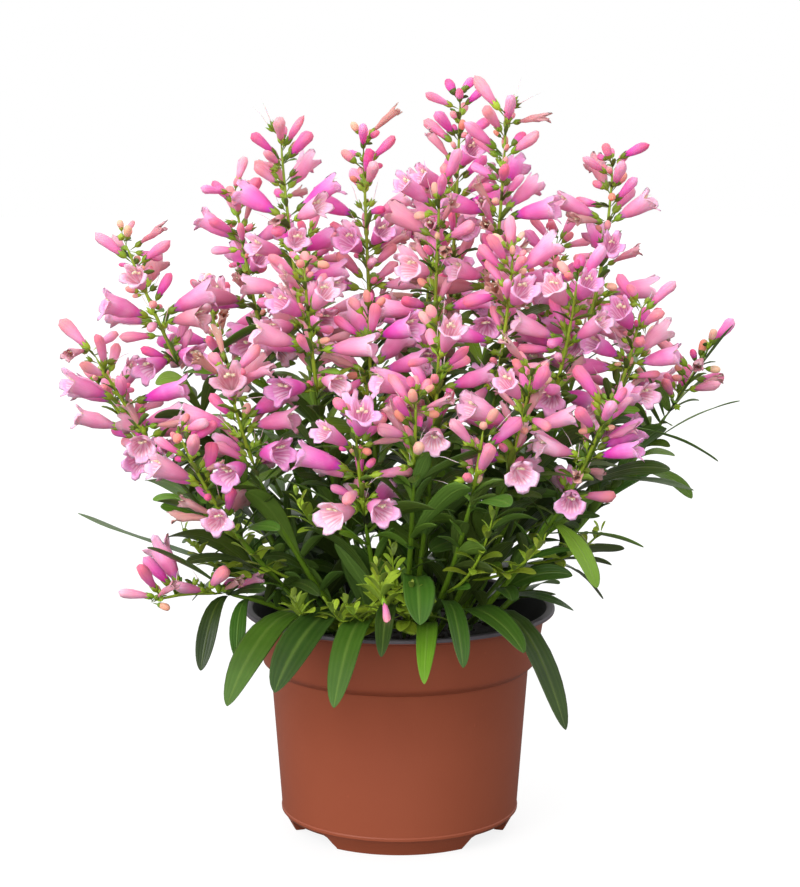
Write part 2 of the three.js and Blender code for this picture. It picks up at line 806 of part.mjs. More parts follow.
function potProfile() {
  return [
    [0, FOOT_HEIGHT],
    [FOOT_INNER_RADIUS, FOOT_HEIGHT],
    [FOOT_INNER_RADIUS, 0],
    [FOOT_RADIUS - 1.2, 0],
    [FOOT_RADIUS, 1],
    [BODY_FOOT_RADIUS - 0.8, FOOT_HEIGHT],
    [BODY_FOOT_RADIUS, FOOT_HEIGHT + 1],
    [BODY_TOP_RADIUS, BODY_TOP],
    [COLLAR_BOTTOM_RADIUS - 1, COLLAR_BOTTOM - 1.6],
    [COLLAR_BOTTOM_RADIUS, COLLAR_BOTTOM],
    [COLLAR_TOP_RADIUS, COLLAR_TOP],
    [RIM_RADIUS - 0.6, RIM_UNDERSIDE],
    [RIM_RADIUS, RIM_TOP - 1],
    [RIM_RADIUS - 1, RIM_TOP],
    [RIM_INNER_RADIUS + 0.8, RIM_TOP],
    [COLLAR_TOP_RADIUS - WALL, RIM_UNDERSIDE],
    [COLLAR_BOTTOM_RADIUS - WALL, COLLAR_BOTTOM],
    [BODY_TOP_RADIUS - WALL, BODY_TOP],
    [BODY_FOOT_RADIUS - WALL, FLOOR_TOP],
    [0, FLOOR_TOP],
  ];
}

function lathe(profile, sides) {
  const geometry = new THREE.LatheGeometry(
    profile.map(([radius, height]) => new THREE.Vector2(radius, height)),
    sides,
  );
  return geometry.rotateX(Math.PI / 2);
}

// Opening between two feet, wider at the ground
function archSolid(degrees) {
  const foot = [ARCH_FOOT_WIDTH / 2, -SMALL_ROUND];
  const top = [ARCH_TOP_WIDTH / 2, ARCH_HEIGHT];
  const outline = [[-foot[0], foot[1]], foot, top, [-top[0], top[1]]];
  const ring = (x) => outline.map(([y, z]) => vector(x, y, z));
  const arch = skin([ring(FOOT_RADIUS - ARCH_DEPTH / 2), ring(FOOT_RADIUS + ARCH_DEPTH / 2)]);
  return solidOf(arch.rotateZ(radians(degrees)));
}

function drainSolid(i) {
  const drain = new THREE.CylinderGeometry(DRAIN_RADIUS, DRAIN_RADIUS, DRAIN_DEPTH, DRAIN_SIDES);
  drain.rotateX(Math.PI / 2);
  drain.translate(DRAIN_RING, 0, FOOT_HEIGHT);
  drain.rotateZ((2 * Math.PI * i) / DRAIN_COUNT);
  return solidOf(drain);
}

function potSolid() {
  let pot = solidOf(lathe(potProfile(), POT_SIDES));
  for (const angle of ARCH_ANGLES) {
    pot = pot.subtract(archSolid(angle));
  }
  for (let i = 0; i < DRAIN_COUNT; i += 1) {
    pot = pot.subtract(drainSolid(i));
  }
  return largestBody(pot);
}

// Radius of the pot's inner wall at a height
function innerRadius(height) {
  const low = height < BODY_TOP;
  const [h0, h1] = low ? [FLOOR_TOP, BODY_TOP] : [BODY_TOP, COLLAR_BOTTOM];
  const [r0, r1] = low ? [BODY_FOOT_RADIUS, BODY_TOP_RADIUS] : [BODY_TOP_RADIUS, COLLAR_BOTTOM_RADIUS];
  if (height > COLLAR_BOTTOM) {
    const share = (height - COLLAR_BOTTOM) / (RIM_UNDERSIDE - COLLAR_BOTTOM);
    return mix(COLLAR_BOTTOM_RADIUS, COLLAR_TOP_RADIUS, share) - WALL;
  }
  return mix(r0, r1, (height - h0) / (h1 - h0)) - WALL;
}

function soilSolid(curves) {
  const gap = CLEARANCE + 0.05;
  const floor = FLOOR_TOP + CLEARANCE;
  const profile = [
    [0, floor],
    [innerRadius(floor) - gap, floor],
    [innerRadius(BODY_TOP) - gap, BODY_TOP],
    [innerRadius(COLLAR_BOTTOM) - gap, COLLAR_BOTTOM],
    [innerRadius(SOIL_EDGE_TOP) - gap, SOIL_EDGE_TOP],
    [SOIL_FLAT_RADIUS, SOIL_TOP],
    [0, SOIL_TOP],
  ];
  const side = Math.SQRT2 * STEM_FOOT_RADIUS + 2 * CLEARANCE;
  let soil = solidOf(lathe(profile, POT_SIDES));
  for (const curve of curves) {
    const hole = new THREE.BoxGeometry(side, side, 2 * HOLE_DEPTH);
    const foot = curve.at(0);
    hole.translate(foot.x, foot.y, SOIL_TOP);
    soil = soil.subtract(solidOf(hole));
  }
  return largestBody(soil);
}

function buildPlant() {
  const group = new THREE.Group();
  const stems = layOut();
  group.add(meshOf('pot', potSolid(), POT_BROWN));
  group.add(meshOf('soil', soilSolid(stems.map(({ curve }) => curve)), SOIL_DARK));
  for (const { inBud, stem, spray } of stems) {
    if (inBud) {
      group.add(meshOf(stem.node, budStemSolid(stem, spray), LEAF_GREEN));
    } else {
      group.add(meshOf(stem.node, leafyStemSolid(stem), LEAF_GREEN));
      group.add(meshOf(spray.node, spraySolid(spray), SPRAY_PINK));
    }
  }
  return group;
}

export default buildPlant();
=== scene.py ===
"""A beardlip penstemon in full bloom in its nursery pot, dressed for the render.

The plant is laid out by the same seeded rule as its solids, so every fine flower, bud and leaf
stands where its solid stands. The layout is in millimetres, with +Z up and -Y the front.
"""

import logging
import math
import random
from dataclasses import dataclass, field
from enum import Enum
from functools import partial
from typing import Callable, Iterable, NamedTuple

import bmesh
import bpy
from mathutils import Matrix, Vector, noise


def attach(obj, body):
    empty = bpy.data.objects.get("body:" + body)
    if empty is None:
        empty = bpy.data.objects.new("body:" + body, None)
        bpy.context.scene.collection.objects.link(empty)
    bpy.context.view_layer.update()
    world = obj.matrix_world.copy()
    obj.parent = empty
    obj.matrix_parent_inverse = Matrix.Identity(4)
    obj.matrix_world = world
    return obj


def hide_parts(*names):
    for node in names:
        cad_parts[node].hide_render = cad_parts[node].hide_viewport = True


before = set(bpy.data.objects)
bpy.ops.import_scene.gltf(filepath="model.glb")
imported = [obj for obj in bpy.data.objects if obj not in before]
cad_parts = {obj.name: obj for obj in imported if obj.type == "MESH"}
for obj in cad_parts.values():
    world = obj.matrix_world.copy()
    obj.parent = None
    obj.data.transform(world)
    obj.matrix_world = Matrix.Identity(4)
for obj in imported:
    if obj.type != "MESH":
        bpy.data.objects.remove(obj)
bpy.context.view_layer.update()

LOG = logging.getLogger("penstemon")
MM = 0.001
FULL_TURN = 2 * math.pi
NOISE_SEED = 11
STEM_SEED = 900
LOBES = 5
FIRST_PETAL = 54.0
FIRST_SEPAL = 90.0


class Kind(Enum):
    """How far a bloom has opened."""

    OPEN = "open"
    BUD = "bud"
    YOUNG = "young"
    SPENT = "spent"
    WITHERED = "withered"


class Point(NamedTuple):
    """A place or a direction, in millimetres."""

    x: float
    y: float
    z: float

    def plus(self, other: "Point", share: float = 1.0) -> "Point":
        """This point moved by a share of another."""
        return Point(self.x + other.x * share, self.y + other.y * share, self.z + other.z * share)

    def times(self, factor: float) -> "Point":
        """This point scaled from the origin."""
        return Point(self.x * factor, self.y * factor, self.z * factor)

    def toward(self, other: "Point", share: float) -> "Point":
        """The point that lies a share of the way to another."""
        return self.plus(other.plus(self, -1.0), share)

    def cross(self, other: "Point") -> "Point":
        """The direction square to this one and another."""
        return Point(
            self.y * other.z - self.z * other.y,
            self.z * other.x - self.x * other.z,
            self.x * other.y - self.y * other.x,
        )

    def distance(self, other: "Point") -> float:
        """How far away another point is."""
        return math.dist(self, other)

    def unit(self) -> "Point":
        """The same direction with a length of one."""
        return self.times(1 / math.sqrt(self.x * self.x + self.y * self.y + self.z * self.z))

    def turned(self, axis: "Point", degrees: float) -> "Point":
        """This direction turned about an axis of length one."""
        half = math.radians(degrees) / 2
        spin = axis.times(math.sin(half))
        twice = spin.cross(self).times(2)
        return self.plus(twice, math.cos(half)).plus(spin.cross(twice))

    def metres(self) -> Vector:
        """This point for Blender."""
        return Vector(self) * MM


SKY = Point(0.0, 0.0, 1.0)


def blend(low: float, high: float, share: float) -> float:
    """The value a share of the way from low to high."""
    return (1 - share) * low + share * high


class Span(NamedTuple):
    """Two ends, between which a value is blended or drawn by chance."""

    first: float
    last: float

    def at(self, share: float) -> float:
        """The value a share of the way along."""
        return blend(self.first, self.last, share)

    def draw(self, dice: random.Random) -> float:
        """A chance value between the ends."""
        return dice.uniform(self.first, self.last)


def aim(azimuth: float, elevation: float) -> Point:
    """The direction of an azimuth and an elevation, in degrees."""
    flat = math.cos(math.radians(elevation))
    return Point(
        flat * math.cos(math.radians(azimuth)),
        flat * math.sin(math.radians(azimuth)),
        math.sin(math.radians(elevation)),
    )


def evenly(start: float, end: float, pitch: float) -> list[float]:
    """Values from start to end, spaced as near to a pitch as fits."""
    count = max(1, math.floor((end - start) / pitch + 0.5))
    return [blend(start, end, i / count) for i in range(count + 1)]


class Draw:
    """Park and Miller's generator, which grows the same plant as the solids."""

    def __init__(self, seed: int) -> None:
        """Starts the row of draws at a seed."""
        self.state = seed

    def next(self) -> float:
        """The next number between 0 and 1."""
        self.state = (self.state * 48271) % 2147483647
        return self.state / 2147483647

    def between(self, low: float, high: float) -> float:
        """The next number between two limits."""
        return low + (high - low) * self.next()


class Curve:
    """A parabola between two points, measured along its length."""

    STEPS = 48

    def __init__(self, start: Point, control: Point, end: Point) -> None:
        """Lays out the parabola's points and their distances from its start."""
        self.points: list[Point] = []
        self.lengths = [0.0]
        for i in range(self.STEPS + 1):
            t = i / self.STEPS
            point = start.times((1 - t) * (1 - t)).plus(control, 2 * t * (1 - t)).plus(end, t * t)
            self.points.append(point)
            if i > 0:
                self.lengths.append(self.lengths[-1] + point.distance(self.points[i - 1]))
        self.length = self.lengths[-1]

    def at(self, distance: float) -> Point:
        """The point at a distance from the start."""
        i = 1
        while i < self.STEPS and self.lengths[i] < distance:
            i += 1
        share = (distance - self.lengths[i - 1]) / (self.lengths[i] - self.lengths[i - 1])
        return self.points[i - 1].toward(self.points[i], share)

    def direction(self, distance: float) -> Point:
        """The way the curve runs at a distance from the start."""
        return self.at(distance + 1).plus(self.at(distance - 1), -1.0).unit()


class Ball(NamedTuple):
    """A ball of space that a stem, bloom or leaf takes up."""

    centre: Point
    r: float
    node: str
    root: bool


@dataclass(frozen=True)
class PotSizes:
    """The pot's radii and heights, shared by the layout and the pot itself."""

    clearance: float = 0.3
    foot_radius: float = 60.0
    foot_inner_radius: float = 54.5
    foot_height: float = 8.4
    body_foot_radius: float = 64.8
    body_top_radius: float = 70.8
    body_top: float = 90.0
    collar_bottom: float = 94.5
    collar_bottom_radius: float = 75.2
    collar_top: float = 119.4
    collar_top_radius: float = 79.6
    rim_radius: float = 85.0
    rim_top: float = 123.0
    rim_inner_radius: float = 80.4
    rim_underside: float = 120.2
    wall: float = 1.8
    floor_top: float = 11.0
    arch_angles: tuple[float, ...] = (37.0, 143.0, 217.0, 323.0)
    arch_foot_width: float = 40.0
    arch_top_width: float = 30.0
    arch_height: float = 7.4
    small_round: float = 1.0
    soil_top: float = 109.0
    soil_edge_top: float = 106.0
    soil_flat_radius: float = 58.0


POT = PotSizes()


class Thicket:
    """The space taken so far, as balls in a grid, so that nothing grows through a neighbour."""

    CELL = 12
    AIR = 0.35
    KIN_OVERLAP = 0.4

    def __init__(self) -> None:
        """Starts with no space taken."""
        self.cells: dict[tuple[int, ...], list[Ball]] = {}

    def cell(self, point: Point) -> tuple[int, ...]:
        """The grid cell that a point lies in."""
        return tuple(math.floor(value / self.CELL) for value in point)

    def add(self, balls: Iterable[Ball]) -> None:
        """Takes up the space of some balls."""
        for ball in balls:
            self.cells.setdefault(self.cell(ball.centre), []).append(ball)

    def is_free(self, balls: Iterable[Ball]) -> bool:
        """Tells whether none of the balls meets the pot or a neighbour."""
        return all(self.clears_pot(ball) and not self.meets(ball) for ball in balls)

    def meets(self, ball: Ball) -> bool:
        """Tells whether a ball meets one that is already there."""
        ci, cj, ck = self.cell(ball.centre)
        for i in (ci - 1, ci, ci + 1):
            for j in (cj - 1, cj, cj + 1):
                for k in (ck - 1, ck, ck + 1):
                    if any(self.touches(ball, other) for other in self.cells.get((i, j, k), ())):
                        return True
        return False

    def touches(self, ball: Ball, other: Ball) -> bool:
        """Tells whether two balls meet, with air between strangers and none between kin."""
        kin = ball.node == other.node
        if kin and (ball.root or other.root):
            return False
        room = ball.r + other.r + (-self.KIN_OVERLAP if kin else self.AIR)
        (ax, ay, az), (bx, by, bz) = ball.centre, other.centre
        return (ax - bx) * (ax - bx) + (ay - by) * (ay - by) + (az - bz) * (az - bz) < room * room

    def clears_pot(self, ball: Ball) -> bool:
        """Tells whether a ball is above the rim and the soil, or well outside the rim."""
        room = ball.r + self.AIR
        from_axis = math.hypot(ball.centre.x, ball.centre.y)
        if from_axis > POT.rim_radius + room:
            return True
        inside = from_axis < POT.collar_top_radius - POT.wall - POT.small_round - room
        return ball.centre.z > room + (POT.soil_top if inside else POT.rim_top) or ball.root


class BallRow(NamedTuple):
    """How the balls that stand for a bloom follow its axis and widen along it."""

    step: float
    stop: float
    widening: float
    least: float
    most: float
    rooted: float


@dataclass
class Bloom:
    """A flower or a bud, along its own axis from the stem that bears it."""

    kind: Kind
    base: Point
    direction: Point
    size: float

    FIRST_BALL = 4.0
    ROWS = {
        Kind.OPEN: BallRow(4, 24, 0.26, 1.2, 5.9, 9),
        Kind.BUD: BallRow(3.3, 24, 0.2, 1.3, 3.9, 7),
        Kind.YOUNG: BallRow(3.3, 14, 0.2, 1.3, 3.9, 7),
        Kind.SPENT: BallRow(3, 9, 0.1, 0.9, 1.8, 6),
        Kind.WITHERED: BallRow(4, 20, 0.1, 1.0, 2.4, 8),
    }
    NOTCH_REACH = 28.0
    MOUTH_BALL = 5.1
    LOBE_BALL = 2.5
    LOBE_BALL_REACH = 29.8
    UPPER_LOBE_BALL_RADIUS = 4.8
    LOWER_LOBE_BALL_RADIUS = 5.9

    def axes(self) -> tuple[Point, Point]:
        """The bloom's own side and up directions."""
        side = SKY.cross(self.direction).unit()
        return side, self.direction.cross(side)

    def off_axis(self, reach: float, radius: float, degrees: float) -> Point:
        """A point beside the axis, at a reach along it and an angle round it."""
        side, up = self.axes()
        turn = math.radians(degrees)
        return (
            self.base.plus(self.direction, reach * self.size)
            .plus(side, radius * self.size * math.cos(turn))
            .plus(up, radius * self.size * math.sin(turn))
        )

    def balls(self, node: str) -> list[Ball]:
        """The space that the bloom takes up.

        Args:
            node: The solid that the bloom belongs to.

        Returns:
            Balls along the axis, and for an open flower at its mouth and lobes too.
        """
        row = self.ROWS[self.kind]
        balls = []
        reach = self.FIRST_BALL
        while reach <= row.stop:
            radius = min(row.widening * reach + row.least, row.most) * self.size
            balls.append(Ball(self.off_axis(reach, 0, 0), radius, node, reach < row.rooted))
            reach += row.step
        if self.kind is Kind.OPEN:
            mouth = self.off_axis(self.NOTCH_REACH, 0, 0)
            balls.append(Ball(mouth, self.MOUTH_BALL * self.size, node, False))
            for i in range(LOBES):
                out = self.UPPER_LOBE_BALL_RADIUS if i < 2 else self.LOWER_LOBE_BALL_RADIUS
                centre = self.off_axis(self.LOBE_BALL_REACH, out, FIRST_PETAL + i * 360 / LOBES)
                balls.append(Ball(centre, self.LOBE_BALL * self.size, node, False))
        return balls

    def matrix(self) -> Matrix:
        """Turns a bloom drawn along +Z in millimetres into its place on the plant."""
        side, up = self.axes()
        columns = Matrix((Vector(side), Vector(up), Vector(self.direction))).transposed()
        return Matrix.LocRotScale(self.base.metres(), columns, Vector((self.size * MM,) * 3))


def leaf_width(t: float) -> float:
    """The share of a leaf's full width at a share of its length."""
    return math.sin(math.pi * min(max(t, 0.0), 1.0) ** 0.85) ** 0.75


@dataclass
class Leaf:
    """A leaf that arches from its stem to its tip."""

    base: Point
    tip: Point
    rise: float
    width: float
    roll: float

    PAD = 0.9

    def spine(self) -> Curve:
        """The leaf's midrib."""
        control = self.base.toward(self.tip, 0.5).plus(SKY, self.rise * 2)
        return Curve(self.base, control, self.tip)

    def side(self) -> Point:
        """The direction across the blade, which is level at no roll."""
        along = self.tip.plus(self.base, -1.0).unit()
        return along.cross(SKY).unit().turned(along, self.roll)

    def balls(self, node: str) -> list[Ball]:
        """The space that the leaf takes up, as rows of three balls across its blade."""
        spine = self.spine()
        side = self.side()
        balls = []
        for s in evenly(6, spine.length - 1, 4.5):
            width = self.width * leaf_width(s / spine.length)
            for across in (-0.3, 0.0, 0.3):
                point = spine.at(s).plus(side, across * width)
                balls.append(Ball(point, 0.21 * width + self.PAD, node, s < 12))
        return balls


@dataclass(frozen=True)
class StemSpec:
    """Where a stem ends, how upright it ends, and for a stem in bud how young its buds are."""

    name: str
    tip: Point
    bend: float
    rise: float = 0.0
    youth: float | None = None


class SkirtLeaf(NamedTuple):
    """A large leaf with a place of its own: its stem, how far up it, its tip, rise and width."""

    stem: str
    share: float
    tip: Point
    rise: float
    width: float


FLOWERING_STEMS = (
    StemSpec("a", Point(33, 25, 400), 0.7),
    StemSpec("b", Point(56, -14, 392), 0.8),
    StemSpec("c", Point(114, 4, 364), 0.9),
    StemSpec("d", Point(-64, 14, 377), 0.6),
    StemSpec("e", Point(-20, 44, 375), 0.5),
    StemSpec("f", Point(-147, -10, 325), 0.25),
    StemSpec("g", Point(21, -24, 354), 0.6),
    StemSpec("h", Point(-92, 52, 346), 0.5),
    StemSpec("i", Point(-158, -56, 269), 0.3),
    StemSpec("j", Point(-170, 42, 242), 0.3),
    StemSpec("k", Point(126, -40, 292), 0.7),
    StemSpec("m", Point(91, -56, 307), 0.7),
    StemSpec("n", Point(65, -104, 264), 0.6),
    StemSpec("o", Point(-48, -72, 315), 0.7),
    StemSpec("p", Point(-16, -58, 289), 0.6),
    StemSpec("r", Point(20, -96, 285), 0.6),
    StemSpec("u", Point(-22, -116, 242), 0.5),
    StemSpec("v", Point(-87, -86, 264), 0.6),
    StemSpec("x", Point(-110, -94, 232), 0.5),
    StemSpec("w", Point(58, -56, 322), 0.7),
    StemSpec("y", Point(104, -100, 248), 0.5),
    StemSpec("z", Point(88, 44, 324), 0.7),
    StemSpec("back_1", Point(-114, 104, 288), 0.4),
    StemSpec("back_2", Point(-54, 112, 320), 0.5),
    StemSpec("back_3", Point(18, 110, 326), 0.5),
    StemSpec("back_4", Point(80, 112, 294), 0.4),
    StemSpec("back_5", Point(142, 80, 264), 0.4),
)

BUD_STEMS = (
    StemSpec("right", Point(170, 10, 266), 0.3, youth=0.85),
    StemSpec("low_left", Point(-130, -64, 138), 0.1, rise=26, youth=0.62),
    StemSpec("front", Point(8, -120, 253), 0.6, youth=0.85),
    StemSpec("front_right", Point(41, -118, 239), 0.6, youth=0.8),
)

SKIRT_LEAVES = (
    SkirtLeaf("x", 0.13, Point(-85, -126, 100), 27, 15),
    SkirtLeaf("o", 0.05, Point(-61, -134, 109), 25, 16),
    SkirtLeaf("u", 0.1, Point(-32, -140, 103), 26, 12),
    SkirtLeaf("front", 0.24, Point(-9, -134, 127), 14, 10),
    SkirtLeaf("front", 0.4, Point(10, -130, 142), 14, 13),
    SkirtLeaf("front_right", 0.07, Point(12, -140, 115), 18, 10),
    SkirtLeaf("front_right", 0.25, Point(31, -140, 123), 20, 11),
    SkirtLeaf("n", 0.12, Point(61, -126, 127), 16, 15),
    SkirtLeaf("y", 0.08, Point(83, -116, 85), 36, 13),
    SkirtLeaf("m", 0.06, Point(92, -46, 130), 13, 12),
    SkirtLeaf("k", 0.3, Point(113, -34, 152), 6, 13),
    SkirtLeaf("k", 0.95, Point(168, -36, 208), 5, 10),
    SkirtLeaf("k", 0.72, Point(156, -32, 192), 4, 10),
    SkirtLeaf("right", 0.84, Point(184, -2, 236), 4, 8),
    SkirtLeaf("right", 0.72, Point(156, -24, 186), 8, 8),
    SkirtLeaf("right", 0.97, Point(180, 6, 276), 2, 5),
    SkirtLeaf("y", 0.88, Point(98, -110, 156), 6, 12),
    SkirtLeaf("y", 0.8, Point(126, -66, 168), 4, 8),
    SkirtLeaf("i", 0.36, Point(-172, -22, 178), -3, 14),
    SkirtLeaf("low_left", 0.97, Point(-102, -80, 106), 12, 8),
    SkirtLeaf("low_left", 0.8, Point(-84, -76, 112), 10, 7),
    SkirtLeaf("low_left", 0.9, Point(-130, -66, 168), 3, 8),
    SkirtLeaf("back_1", 0.06, Point(-92, 112, 104), 26, 14),
    SkirtLeaf("back_2", 0.08, Point(-40, 140, 98), 27, 14),
    SkirtLeaf("back_3", 0.07, Point(22, 145, 100), 26, 15),
    SkirtLeaf("back_4", 0.07, Point(76, 118, 96), 28, 14),
    SkirtLeaf("back_5", 0.1, Point(118, 62, 112), 24, 13),
    SkirtLeaf("j", 0.08, Point(-118, 40, 116), 20, 14),
)


class ShootSpec(NamedTuple):
    """A young side shoot: its stem, how far up it, its tip, longest leaf and way its bud points."""

    stem: str
    share: float
    tip: Point
    leaf: float
    bud: Point | None = None


SHOOTS = (
    ShootSpec("front", 0.1, Point(-11, -112, 168), 31, Point(0.25, -0.5, -0.8)),
    ShootSpec("front", 0.13, Point(-27, -108, 148), 25),
    ShootSpec("front", 0.16, Point(6, -110, 156), 26),
    ShootSpec("front", 0.2, Point(-4, -104, 176), 18),
    ShootSpec("x", 0.16, Point(-53, -100, 150), 30),
    ShootSpec("u", 0.14, Point(-35, -106, 146), 26),
    ShootSpec("v", 0.36, Point(-89, -72, 186), 18),
    ShootSpec("i", 0.3, Point(-112, -58, 176), 18),
    ShootSpec("front_right", 0.4, Point(47, -108, 196), 16),
    ShootSpec("n", 0.42, Point(72, -98, 178), 18),
    ShootSpec("k", 0.35, Point(104, -62, 176), 18),
    ShootSpec("o", 0.45, Point(-52, -92, 200), 18),
    ShootSpec("c", 0.3, Point(84, 46, 170), 20),
    ShootSpec("z", 0.3, Point(58, 84, 168), 20),
    ShootSpec("back_2", 0.34, Point(-22, 112, 176), 20),
    ShootSpec("back_1", 0.3, Point(-96, 72, 160), 20),
)


@dataclass
class Shoot:
    """A young side shoot and its leaves."""

    curve: Curve
    leaves: list[Leaf] = field(default_factory=list)


@dataclass
class LeafyPart:
    """The lower part of a stem, which bears leaves."""

    node: str
    stop: float
    leaves: list[Leaf] = field(default_factory=list)
    small_leaves: list[Leaf] = field(default_factory=list)
    shoots: list[Shoot] = field(default_factory=list)


@dataclass
class Spray:
    """The upper part of a stem, which bears flowers and buds."""

    node: str
    start: float
    stop: float
    youth: float
    blooms: list[Bloom] = field(default_factory=list)
    whorls: list[float] = field(default_factory=list)
    bracts: list[Leaf] = field(default_factory=list)


@dataclass
class Stem:
    """One stem from the soil to its tip."""

    name: str
    in_bud: bool
    curve: Curve
    leafy: LeafyPart
    spray: Spray


class Planting:
    """Lays the whole plant out, by the same rule and the same draws as its solids."""

    CROWN_SHARE = 0.27
    STEM_FOOT_RADIUS = 1.9
    RACHIS_FOOT_RADIUS = 1.3
    BUD_STEM_SPRAY = 42.0
    SPRAY_FLOOR = 200.0
    SPRAY_SHARE = 0.62
    SPRAY_SHORTEST = 60.0
    WHORL_PITCH = 17.0
    CROWDING = 1.3
    PAIR_CHANCE = 0.45
    ROOT_SPACING = 1.7
    PAIR_SPREAD = 27.0
    WHORL_SWING = 15.0
    WHORL_ENDS = Span(6.0, 6.0)
    AGE_SPREAD = 0.2
    BUD_FROM = 0.66
    YOUNG_FROM = 0.9
    YOUNG_CHANCE = 0.55
    TRIES = 12
    LAST_OPEN_TRY = 7
    BLOOM_SWING = 6.0
    BLOOM_SWING_STEP = 5.0
    BLOOM_LIFT = Span(2, 52)
    BLOOM_STEEPEST = 76.0
    BLOOM_SIZE = Span(0.86, 1.06)
    LEAF_PITCH = 43.0
    LEAF_ENDS = Span(12.0, 6.0)
    LEAF_TRIES = 6
    LEAF_PAIR_SWING = 12.0
    LEAF_SWING = 8.0
    LEAF_LENGTH = Span(78, 40)
    LEAF_LENGTH_VARY = Span(0.8, 1.15)
    LEAF_LIFT = Span(8, 48)
    LEAF_RISE = Span(0.06, 0.14)
    LEAF_WIDTH = Span(14, 7)
    LEAF_WIDTH_VARY = Span(0.9, 1.15)
    LEAF_ROLL = 50.0
    SPRAY_SEED = 101
    SPRAY_SEED_STEP = 7
    LEAF_SEED = 5003
    LEAF_SEED_STEP = 11

    def __init__(self) -> None:
        """Grows every stem, leaf and bloom."""
        self.thicket = Thicket()
        self.stems = [self.new_stem(spec) for spec in FLOWERING_STEMS + BUD_STEMS]
        for stem in self.stems:
            self.take_stem(stem)
        for spec in SKIRT_LEAVES:
            stem = next(stem for stem in self.stems if stem.name == spec.stem)
            base = stem.curve.at(spec.share * stem.leafy.stop)
            leaf = Leaf(base, spec.tip, spec.rise, spec.width, 0.0)
            self.keep(leaf, stem.leafy.node, stem.leafy.leaves)
        for i, stem in enumerate(self.stems):
            self.grow_spray(stem, Draw(self.SPRAY_SEED + self.SPRAY_SEED_STEP * i))
        for i, stem in enumerate(self.stems):
            self.grow_leaves(stem, Draw(self.LEAF_SEED + self.LEAF_SEED_STEP * i))

    def new_stem(self, spec: StemSpec) -> Stem:
        """Starts a stem with its leafy part and its spray, both still bare."""
        start = Point(spec.tip.x * self.CROWN_SHARE, spec.tip.y * self.CROWN_SHARE, POT.soil_top)
        middle = start.toward(spec.tip, 0.5)
        lean = 0.5 + spec.bend / 2
        control = Point(
            blend(start.x, spec.tip.x, lean),
            blend(start.y, spec.tip.y, lean),
            middle.z + spec.rise,
        )
        curve = Curve(start, control, spec.tip)
        in_bud = spec.youth is not None
        above = self.SPRAY_SHARE * (spec.tip.z - self.SPRAY_FLOOR)
        reach = self.BUD_STEM_SPRAY if in_bud else max(self.SPRAY_SHORTEST, above)
        split = curve.length - reach
        node = f"bud_stem_{spec.name}" if in_bud else f"leafy_stem_{spec.name}"
        top = node if in_bud else f"flower_spray_{spec.name}"
        spray = Spray(top, split + POT.clearance, curve.length, spec.youth or 0.0)
        return Stem(spec.name, in_bud, curve, LeafyPart(node, split), spray)

    def take_stem(self, stem: Stem) -> None:
        """Takes up the space of a bare stem."""
        parts = (
            (0.0, stem.leafy.stop, self.STEM_FOOT_RADIUS + 0.4, stem.leafy.node),
            (stem.spray.start + 2, stem.curve.length, self.RACHIS_FOOT_RADIUS + 0.5, stem.spray.node),
        )
        for start, stop, radius, node in parts:
            places = evenly(start, stop, 3)
            self.thicket.add(Ball(stem.curve.at(s), radius, node, True) for s in places)

    def whorl_stations(self, spray: Spray) -> list[float]:
        """Distances of the whorls along a spray, closer together towards its tip."""
        rows = evenly(0, spray.stop - spray.start - 8, self.WHORL_PITCH)
        span = spray.stop - spray.start - sum(self.WHORL_ENDS)
        lefts = [1 - i / (len(rows) - 1) for i in range(len(rows))]
        return [spray.start + self.WHORL_ENDS.first + span * (1 - left**self.CROWDING) for left in lefts]

    def bloom_kind(self, share: float, draw: Draw) -> Kind:
        """Low whorls are open, and high ones are still in bud."""
        age = share + draw.between(-self.AGE_SPREAD, self.AGE_SPREAD)
        if age > self.YOUNG_FROM:
            return Kind.YOUNG
        return Kind.BUD if age > self.BUD_FROM else Kind.OPEN

    def grow_bloom(self, stem: Stem, s: float, azimuth: float, share: float, draw: Draw) -> None:
        """Grows one bloom where there is room for it.

        Args:
            stem: The stem that bears it.
            s: Its distance along the stem.
            azimuth: The way it points, in degrees.
            share: How far up the spray it is.
            draw: The spray's own row of draws.
        """
        kind = self.bloom_kind(share, draw)
        if kind is Kind.YOUNG and draw.next() > self.YOUNG_CHANCE:
            return
        for attempt in range(self.TRIES):
            swing = self.BLOOM_SWING + self.BLOOM_SWING_STEP * attempt
            elevation = self.BLOOM_LIFT.at(share) + draw.between(-swing, swing)
            late = attempt > self.LAST_OPEN_TRY and kind is Kind.OPEN
            heading = azimuth + draw.between(-swing, swing)
            direction = aim(heading, min(elevation, self.BLOOM_STEEPEST))
            size = draw.between(*self.BLOOM_SIZE)
            bloom = Bloom(Kind.BUD if late else kind, stem.curve.at(s), direction, size)
            if self.keep(bloom, stem.spray.node, stem.spray.blooms):
                return

    def grow_spray(self, stem: Stem, draw: Draw) -> None:
        """Grows the blooms of a spray, in opposite pairs at each whorl."""
        stem.spray.whorls = self.whorl_stations(stem.spray)
        azimuth = draw.between(0, 360)
        for i, s in enumerate(stem.spray.whorls):
            share = blend(stem.spray.youth, 1, i / (len(stem.spray.whorls) - 1))
            azimuth += 90 + draw.between(-self.WHORL_SWING, self.WHORL_SWING)
            for half in (0, 1):
                toward = azimuth + 180 * half
                pair = draw.next() < self.PAIR_CHANCE
                spread = self.PAIR_SPREAD if pair else 0
                place = s + self.ROOT_SPACING * (half - 1)
                self.grow_bloom(stem, place, toward - spread, share, draw)
                if pair:
                    above = place + 2 * self.ROOT_SPACING
                    self.grow_bloom(stem, above, toward + spread, share + 0.1, draw)

